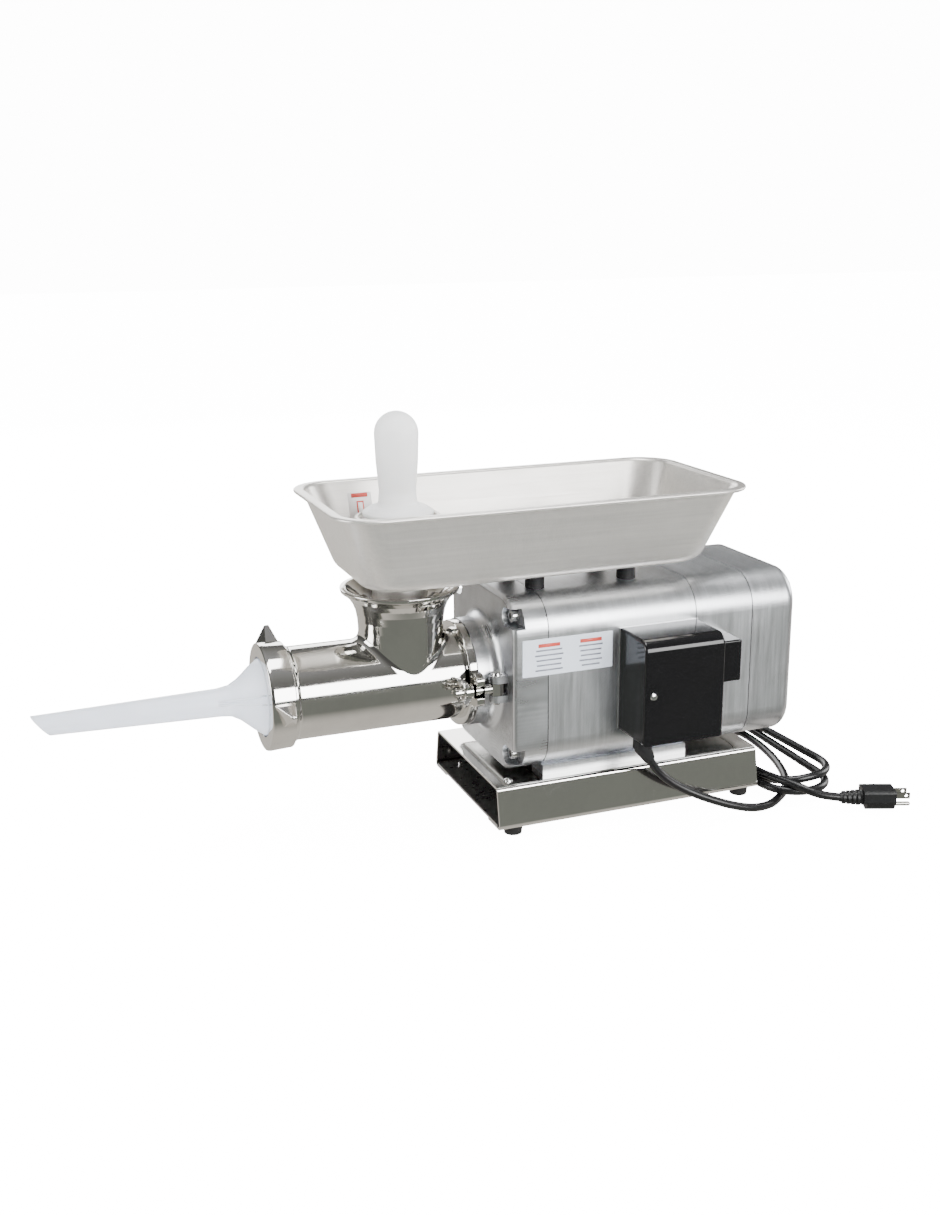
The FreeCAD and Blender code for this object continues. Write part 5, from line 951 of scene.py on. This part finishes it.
# ---------------------------------------------------------------- star nuts
class GRINDER_OT_star_nuts(bpy.types.Operator):
    """Shapes the two four-winged nuts of the swing bolts."""

    bl_idname = "grinder.star_nuts"
    bl_label = "Star nuts"

    def execute(self, context):
        for word, body in (("near", "near_nut"), ("far", "far_nut")):
            low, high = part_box(f"star_nut_{word}")
            middle = (low + high) / 2
            self.make_nut(f"winged_nut_{word}", high.x, middle.y, body, f"star_nut_{word}")
        return {"FINISHED"}

    def make_nut(self, name, seat, across, body, node):
        outline = [(0.0, 0.0053), (0.0, 0.0064), (-0.0018, 0.0084), (-0.0095, 0.0080), (-0.0110, 0.0068),
                   (-0.0110, 0.0053)]
        path = rounded_path(outline, [0.0003, 0.0006, 0.0012, 0.0010, 0.0008, 0.0003], 4)
        mesh = turned_mesh(name, path, (seat, across, AXIS), "X", 64)
        keep_flats(polished_piece(name, mesh, body, node))
        for number in range(4):
            turn = Matrix.Translation((seat, across, AXIS)) @ Matrix.Rotation(
                math.radians(45 + 90 * number), 4, "X")
            outline = [(-0.0025, 0.0066), (-0.0062, 0.0118), (-0.0092, 0.0152), (-0.0132, 0.0160),
                       (-0.0143, 0.0128), (-0.0118, 0.0090), (-0.0098, 0.0066)]
            smooth = rounded_path(outline, [0.0, 0.004, 0.003, 0.0026, 0.003, 0.004, 0.0], 5)
            points = []
            thick = ((-0.0016, 0.0011), (-0.0023, 0.0004), (-0.0025, 0.0))
            rings = [(y, inset) for y, inset in thick] + [(-y, inset) for y, inset in reversed(thick)]
            centre = sum(smooth, Vector((0, 0))) / len(smooth)
            for y, inset in rings:
                for spot in smooth:
                    pull = (centre - spot).normalized() * inset
                    points.append(turn @ Vector((spot.x + pull.x, y, spot.y + pull.y)))
            count = len(smooth)
            faces = [list(range(count)), list(range(count * (len(rings) - 1), count * len(rings)))]
            for ring in range(len(rings) - 1):
                for step in range(count):
                    other = (step + 1) % count
                    a, b = ring * count, (ring + 1) * count
                    faces.append([a + step, a + other, b + other, b + step])
            wing = f"{name}_wing_{number}"
            keep_flats(polished_piece(wing, mesh_from(wing, points, faces), body))


# ---------------------------------------------------------------- labels
class GRINDER_OT_labels(bpy.types.Operator):
    """Lays plain rules on the blank label, and sticks a small blank film inside the tray."""

    bl_idname = "grinder.labels"
    bl_label = "Labels"

    print_thick = 0.00005

    def execute(self, context):
        low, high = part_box("instruction_plate")
        face = low.y
        wide = high.x - low.x
        tall = high.z - low.z
        rules = []
        for column, (start, reach) in enumerate(((0.13, 0.32), (0.62, 0.27))):
            for row in range(6):
                height = 0.82 - 0.135 * row
                shrink = (0.25, 0.10, 0.02, 0.12, 0.16, 0.05)[(row + column) % 6]
                left = start + reach * shrink / 2
                right = start + reach * (1 - shrink / 2)
                thick = 0.050 if row == 0 else 0.022
                rules.append((left, right, height, thick, "Label red" if row == 0 else "Label grey"))
        for number, (left, right, height, thick, finish) in enumerate(rules):
            x0, x1 = low.x + left * wide, low.x + right * wide
            z0, z1 = low.z + (height - thick) * tall, low.z + (height + thick) * tall
            corners = self.film_corners((x0, x1), (z0, z1), face + self.print_thick, face - self.print_thick)
            name = f"label_rule_{number}"
            make_piece(name, block_mesh(name, corners), "motor_base", finish, "label")
        self.sticker()
        return {"FINISHED"}

    def sticker(self):
        """A small blank film on the inside of the tray's far wall."""
        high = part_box("food_tray")[1]
        lean = math.atan2(0.028, high.z - 0.268)
        across = node_middle("feed_pusher").x - 0.012
        height = 0.325
        face = high.y - 0.0098 - (high.z - height) * math.tan(lean)
        turn = Matrix.Translation((across, face, height)) @ Matrix.Rotation(-lean, 4, "X")
        parts = (
            ("sticker_film", (-0.013, 0.013), (-0.016, 0.016), 0.0002, "Sticker film"),
            ("sticker_bar", (-0.009, 0.009), (0.007, 0.0115), 0.0003, "Label red"),
            ("sticker_patch", (-0.004, 0.004), (-0.012, 0.003), 0.0003, "Label red"),
            ("sticker_window", (-0.0025, 0.0025), (-0.0105, 0.0015), 0.0004, "Sticker film"),
        )
        for name, across, upright, proud, finish in parts:
            corners = self.film_corners(across, upright, 0, -proud)
            make_piece(name, block_mesh(name, [turn @ Vector(p) for p in corners]), "tray", finish, "label")

    @staticmethod
    def film_corners(across, upright, back, front):
        """Corners of a thin upright film between two depths."""
        around = ((across[0], back), (across[1], back), (across[1], front), (across[0], front))
        return [(x, y, z) for z in upright for x, y in around]


# ---------------------------------------------------------------- cord
CORD_OUT = (
    (0.0065, -0.1173, 0.07516), (0.0136, -0.1180, 0.0630), (0.0278, -0.1205, 0.0490),
    (0.0470, -0.1250, 0.0365), (0.0700, -0.1305, 0.0255), (0.0970, -0.1350, 0.0150),
    (0.1240, -0.1360, 0.0074), (0.1480, -0.1305, 0.0052),
)
CORD_ENTRY = (
    (0.1665, -0.1185, 0.0050), (0.1880, -0.1000, 0.0048), (0.2055, -0.0740, 0.0048),
    (0.2180, -0.0450, 0.0048), (0.2275, -0.0140, 0.0048), (0.2335, 0.0180, 0.0048), (0.2357, 0.0410, 0.0048),
)
CORD_IN = (
    (0.1605, 0.0200, 0.0236), (0.1600, -0.0200, 0.0236), (0.1600, -0.0550, 0.0236),
    (0.1625, -0.0850, 0.0236), (0.1700, -0.1090, 0.0236), (0.1795, -0.1275, 0.0226),
    (0.1905, -0.1420, 0.0182), (0.2040, -0.1511, 0.0146), (0.2180, -0.1570, 0.0132),
)
# Each bend of the loose turns: middle, radius, where it starts, its height at the start and from halfway.
CORD_BENDS = (
    (0.1975, 0.0620, 0.0385, 0.0, 0.0048, 0.0048), (0.1975, -0.0930, 0.0385, math.pi, 0.0142, 0.0142),
    (0.2010, 0.0560, 0.0385, 0.0, 0.0142, 0.0142), (0.2075, -0.0800, 0.0385, math.pi, 0.0150, 0.0238),
    (0.2005, 0.0600, 0.0385, 0.0, 0.0238, 0.0236),
)
BEND_STEPS = 8
RUN_SPACING = (0.12, 0.34, 0.66, 0.88)


class GRINDER_OT_cord(bpy.types.Operator):
    """Lays the power cord from its gland through loose loops to the plug."""

    bl_idname = "grinder.cord"
    bl_label = "Power cord"

    def execute(self, context):
        points = list(CORD_OUT) + list(CORD_ENTRY) + self.loops() + list(CORD_IN)
        curve = bpy.data.curves.new("mains_cord", "CURVE")
        curve.dimensions = "3D"
        spline = curve.splines.new("NURBS")
        spline.points.add(len(points) - 1)
        for knot, place in zip(spline.points, points):
            knot.co = (*place, 1.0)
        spline.order_u = 3
        spline.use_endpoint_u = True
        curve.resolution_u = 10
        curve.bevel_depth = sizes().cord_width / 2
        curve.bevel_resolution = 6
        curve.use_fill_caps = True
        item = bpy.data.objects.new("mains_cord", curve)
        bpy.context.scene.collection.objects.link(item)
        curve.materials.append(finish_named("Cord jacket"))
        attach(item, "motor_base")
        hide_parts("power_cord", "power_cord_end", "cord_coil")
        return {"FINISHED"}

    def loops(self):
        """Points of the loose turns: half circles a little different from each other, joined by long runs."""
        points = []
        for x, y, radius, start, low, high in CORD_BENDS:
            bend = []
            for step in range(BEND_STEPS + 1):
                angle = start + math.pi * step / BEND_STEPS
                height = low + (high - low) * min(1.0, 2 * step / BEND_STEPS)
                bend.append(Vector((x + radius * math.cos(angle), y + radius * math.sin(angle), height)))
            if points:
                points += [points[-1].lerp(bend[0], part) for part in RUN_SPACING]
            points += bend
        return [tuple(point) for point in points]


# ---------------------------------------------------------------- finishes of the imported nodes
NODE_FINISHES = {
    "Polished casting": ("swing_bolt_near", "swing_bolt_far", "swing_pins"),
    "Brushed tray steel": ("feed_guard",),
    "Satin motor aluminium": ("motor_housing", "rear_housing", "rear_cap"),
    "Turned cover": ("gearbox_cover",),
    "Bright fastener": ("foot_screws", "base_screw", "rear_cap_screws", "cover_bolts", "motor_mount_bolts",
                        "box_screw"),
    "Machined steel": ("base_bottom_plate", "grinding_plate", "cross_knife", "drive_stud", "feed_screw",
                       "output_shaft", "output_gear", "layshaft", "layshaft_gear", "layshaft_pinion",
                       "motor_shaft", "motor_pinion", "output_bearings", "layshaft_bearings",
                       "motor_bearings", "box_back_plate"),
    "Lacquered laminations": ("stator_core", "rotor_core"),
    "Enamelled copper": ("stator_windings",),
    "White food plastic": ("cooling_fan", "terminal_block"),
    "Plain grey plastic": ("run_capacitor",),
    "Black box enamel": ("switch_box", "side_box", "rocker_frame"),
    "Black rubber": ("rubber_feet", "tray_posts", "oil_seal", "cable_gland", "rocker_switch",
                     "reset_button"),
    "Dark gasket": ("housing_gaskets",),
    "Plug moulding": ("plug_body",),
    "Plated brass": ("plug_blades",),
    "Label film": ("instruction_plate",),
}


class GRINDER_OT_node_finishes(bpy.types.Operator):
    """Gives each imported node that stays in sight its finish."""

    bl_idname = "grinder.node_finishes"
    bl_label = "Node finishes"

    def execute(self, context):
        for finish, names in NODE_FINISHES.items():
            for name in names:
                item = NODES[name]
                item.data.materials.clear()
                item.data.materials.append(finish_named(finish))
        return {"FINISHED"}


# ---------------------------------------------------------------- stage
CAMERA_PLACE = (-0.6393, -1.2898, 0.6155)
CAMERA_LENS = 40.627
CAMERA_ANGLES = (20.915, 15.808, -0.522)    # yaw, pitch and roll, degrees


class GRINDER_OT_stage(bpy.types.Operator):
    """Sets the floor, the studio light and the camera."""

    bl_idname = "grinder.stage"
    bl_label = "Stage"

    def execute(self, context):
        self.make_camera(context)
        self.make_world(context)
        self.make_floor(context)
        self.make_lights(context)
        return {"FINISHED"}

    def make_camera(self, context):
        data = bpy.data.cameras.new("Camera")
        data.sensor_fit = "VERTICAL"
        data.sensor_height = 36.0
        data.sensor_width = 36.0
        data.lens = CAMERA_LENS
        data.clip_end = 60.0
        camera = bpy.data.objects.new("Camera", data)
        context.scene.collection.objects.link(camera)
        yaw, pitch, roll = (math.radians(a) for a in CAMERA_ANGLES)
        ahead = Vector((math.sin(yaw) * math.cos(pitch), math.cos(yaw) * math.cos(pitch), -math.sin(pitch)))
        right = Vector((math.cos(yaw), -math.sin(yaw), 0.0))
        up = right.cross(ahead)
        turned_right = right * math.cos(roll) + up * math.sin(roll)
        turned_up = -right * math.sin(roll) + up * math.cos(roll)
        matrix = Matrix((turned_right, turned_up, -ahead)).transposed().to_4x4()
        matrix.translation = Vector(CAMERA_PLACE)
        camera.matrix_world = matrix
        context.scene.camera = camera

    def make_world(self, context):
        world = bpy.data.worlds.new("Studio")
        context.scene.world = world
        world.use_nodes = True
        tree = world.node_tree
        tree.nodes.clear()
        output = tree.nodes.new("ShaderNodeOutputWorld")
        path = tree.nodes.new("ShaderNodeLightPath")
        seen = tree.nodes.new("ShaderNodeBackground")
        seen.inputs["Color"].default_value = (1.0, 1.0, 1.0, 1.0)
        seen.inputs["Strength"].default_value = 14.0
        soft = tree.nodes.new("ShaderNodeBackground")
        soft.inputs["Color"].default_value = (0.95, 0.97, 1.0, 1.0)
        soft.inputs["Strength"].default_value = 1.05
        mirrored = tree.nodes.new("ShaderNodeBackground")
        upward = parts_of(tree, tree.nodes.new("ShaderNodeTexCoord").outputs["Generated"])["Z"]
        ramp = tree.nodes.new("ShaderNodeValToRGB")
        tree.links.new(upward, ramp.inputs["Fac"])
        steps = ramp.color_ramp
        steps.elements[0].position = 0.0
        steps.elements[0].color = (0.10, 0.105, 0.098, 1.0)
        steps.elements[1].position = 1.0
        steps.elements[1].color = (0.42, 0.42, 0.43, 1.0)
        for position, value in ((0.22, 0.09), (0.50, 0.13), (0.72, 0.24)):
            element = steps.elements.new(position)
            element.color = (value, value, value * 0.96, 1.0)
        tree.links.new(ramp.outputs["Color"], mirrored.inputs["Color"])
        first = tree.nodes.new("ShaderNodeMixShader")
        second = tree.nodes.new("ShaderNodeMixShader")
        tree.links.new(path.outputs["Is Glossy Ray"], first.inputs[0])
        tree.links.new(soft.outputs[0], first.inputs[1])
        tree.links.new(mirrored.outputs[0], first.inputs[2])
        tree.links.new(path.outputs["Is Camera Ray"], second.inputs[0])
        tree.links.new(first.outputs[0], second.inputs[1])
        tree.links.new(seen.outputs[0], second.inputs[2])
        tree.links.new(second.outputs[0], output.inputs["Surface"])

    def make_floor(self, context):
        mesh = bpy.data.meshes.new("floor")
        reach = 12.0
        corners = [(-reach, -reach, 0), (reach, -reach, 0), (reach, reach, 0), (-reach, reach, 0)]
        mesh.from_pydata(corners, [], [(0, 1, 2, 3)])
        floor = bpy.data.objects.new("floor", mesh)
        context.scene.collection.objects.link(floor)
        material = bpy.data.materials.new("Pale floor")
        material.use_nodes = True
        tree = material.node_tree
        tree.nodes.clear()
        output = tree.nodes.new("ShaderNodeOutputMaterial")
        matte = tree.nodes.new("ShaderNodeBsdfDiffuse")
        matte.inputs["Color"].default_value = (0.93, 0.93, 0.93, 1.0)
        lift = tree.nodes.new("ShaderNodeEmission")
        lift.inputs["Color"].default_value = (1.0, 1.0, 1.0, 1.0)
        path = tree.nodes.new("ShaderNodeLightPath")
        tree.links.new(maths(tree, "MULTIPLY_ADD", path.outputs["Is Camera Ray"], 14.0, 0.35),
                       lift.inputs["Strength"])
        both = tree.nodes.new("ShaderNodeAddShader")
        tree.links.new(matte.outputs[0], both.inputs[0])
        tree.links.new(lift.outputs[0], both.inputs[1])
        # Painted reflection: to glossy rays only, the floor glows dark in front of the grinder (y below
        # -0.24) and warm pale behind it (y above -0.08).
        painted_reflection_glow = tree.nodes.new("ShaderNodeEmission")
        painted_reflection_fade = tree.nodes.new("ShaderNodeMapRange")
        painted_reflection_fade.interpolation_type = "SMOOTHSTEP"
        painted_reflection_fade.inputs["From Min"].default_value = -0.24
        painted_reflection_fade.inputs["From Max"].default_value = -0.08
        tree.links.new(parts_of(tree, object_place(tree))["Y"], painted_reflection_fade.inputs["Value"])
        mix = tree.nodes.new("ShaderNodeMix")
        mix.data_type = "RGBA"
        mix.inputs["A"].default_value = (0.23, 0.24, 0.215, 1.0)
        mix.inputs["B"].default_value = (0.80, 0.76, 0.70, 1.0)
        tree.links.new(painted_reflection_fade.outputs["Result"], mix.inputs["Factor"])
        tree.links.new(mix.outputs["Result"], painted_reflection_glow.inputs["Color"])
        choose = tree.nodes.new("ShaderNodeMixShader")
        tree.links.new(path.outputs["Is Glossy Ray"], choose.inputs[0])
        tree.links.new(both.outputs[0], choose.inputs[1])
        tree.links.new(painted_reflection_glow.outputs[0], choose.inputs[2])
        tree.links.new(choose.outputs[0], output.inputs["Surface"])
        mesh.materials.append(material)

    def make_lights(self, context):
        lamps = (
            ("Front panel", (0.75, -2.7, 1.02), (0.1, 0.0, 0.2), (2.1, 1.35), 125.0),
            ("Top panel", (0.1, -0.2, 2.7), (0.0, 0.0, 0.2), (2.0, 1.0), 60.0),
            ("Left panel", (-2.9, 0.3, 0.9), (-0.2, 0.0, 0.2), (1.3, 1.5), 60.0),
            ("Right panel", (2.9, 0.2, 1.0), (0.2, 0.0, 0.2), (1.3, 1.3), 50.0),
            ("Back panel", (0.2, 2.9, 1.1), (0.0, 0.0, 0.2), (2.4, 1.2), 50.0),
        )
        for name, at, towards, extent, power in lamps:
            data = bpy.data.lights.new(name, "AREA")
            data.shape = "RECTANGLE"
            data.size, data.size_y = extent
            data.energy = power
            lamp = bpy.data.objects.new(name, data)
            context.scene.collection.objects.link(lamp)
            lamp.location = at
            aim = Vector(towards) - Vector(at)
            lamp.rotation_euler = aim.to_track_quat("-Z", "Y").to_euler()


# ---------------------------------------------------------------- panel and registration
STEPS = (
    GRINDER_OT_cord, GRINDER_OT_head, GRINDER_OT_ring_nut, GRINDER_OT_tray, GRINDER_OT_base,
    GRINDER_OT_plastics, GRINDER_OT_star_nuts, GRINDER_OT_labels, GRINDER_OT_node_finishes,
    GRINDER_OT_stage,
)


class GRINDER_PT_pieces(bpy.types.Panel):
    """Shows the sizes, the colours and a button for each step of the grinder."""

    bl_idname = "GRINDER_PT_pieces"
    bl_label = "Meat Grinder"
    bl_space_type = "VIEW_3D"
    bl_region_type = "UI"
    bl_category = "Meat Grinder"

    def draw(self, context):
        layout = self.layout
        for group in (context.scene.grinder_sizes, context.scene.grinder_colours):
            for name in group.__annotations__:
                layout.prop(group, name)
        for step in STEPS:
            layout.operator(step.bl_idname)


CLASSES = (GrinderSizes, GrinderColours, *STEPS, GRINDER_PT_pieces)


def register():
    for item in CLASSES:
        bpy.utils.register_class(item)
    bpy.types.Scene.grinder_sizes = PointerProperty(type=GrinderSizes)
    bpy.types.Scene.grinder_colours = PointerProperty(type=GrinderColours)


def unregister():
    del bpy.types.Scene.grinder_colours
    del bpy.types.Scene.grinder_sizes
    for item in reversed(CLASSES):
        bpy.utils.unregister_class(item)


def main():
    register()
    for step in STEPS:
        family, name = step.bl_idname.split(".")
        getattr(getattr(bpy.ops, family), name)()


if __name__ == "__main__":
    main()
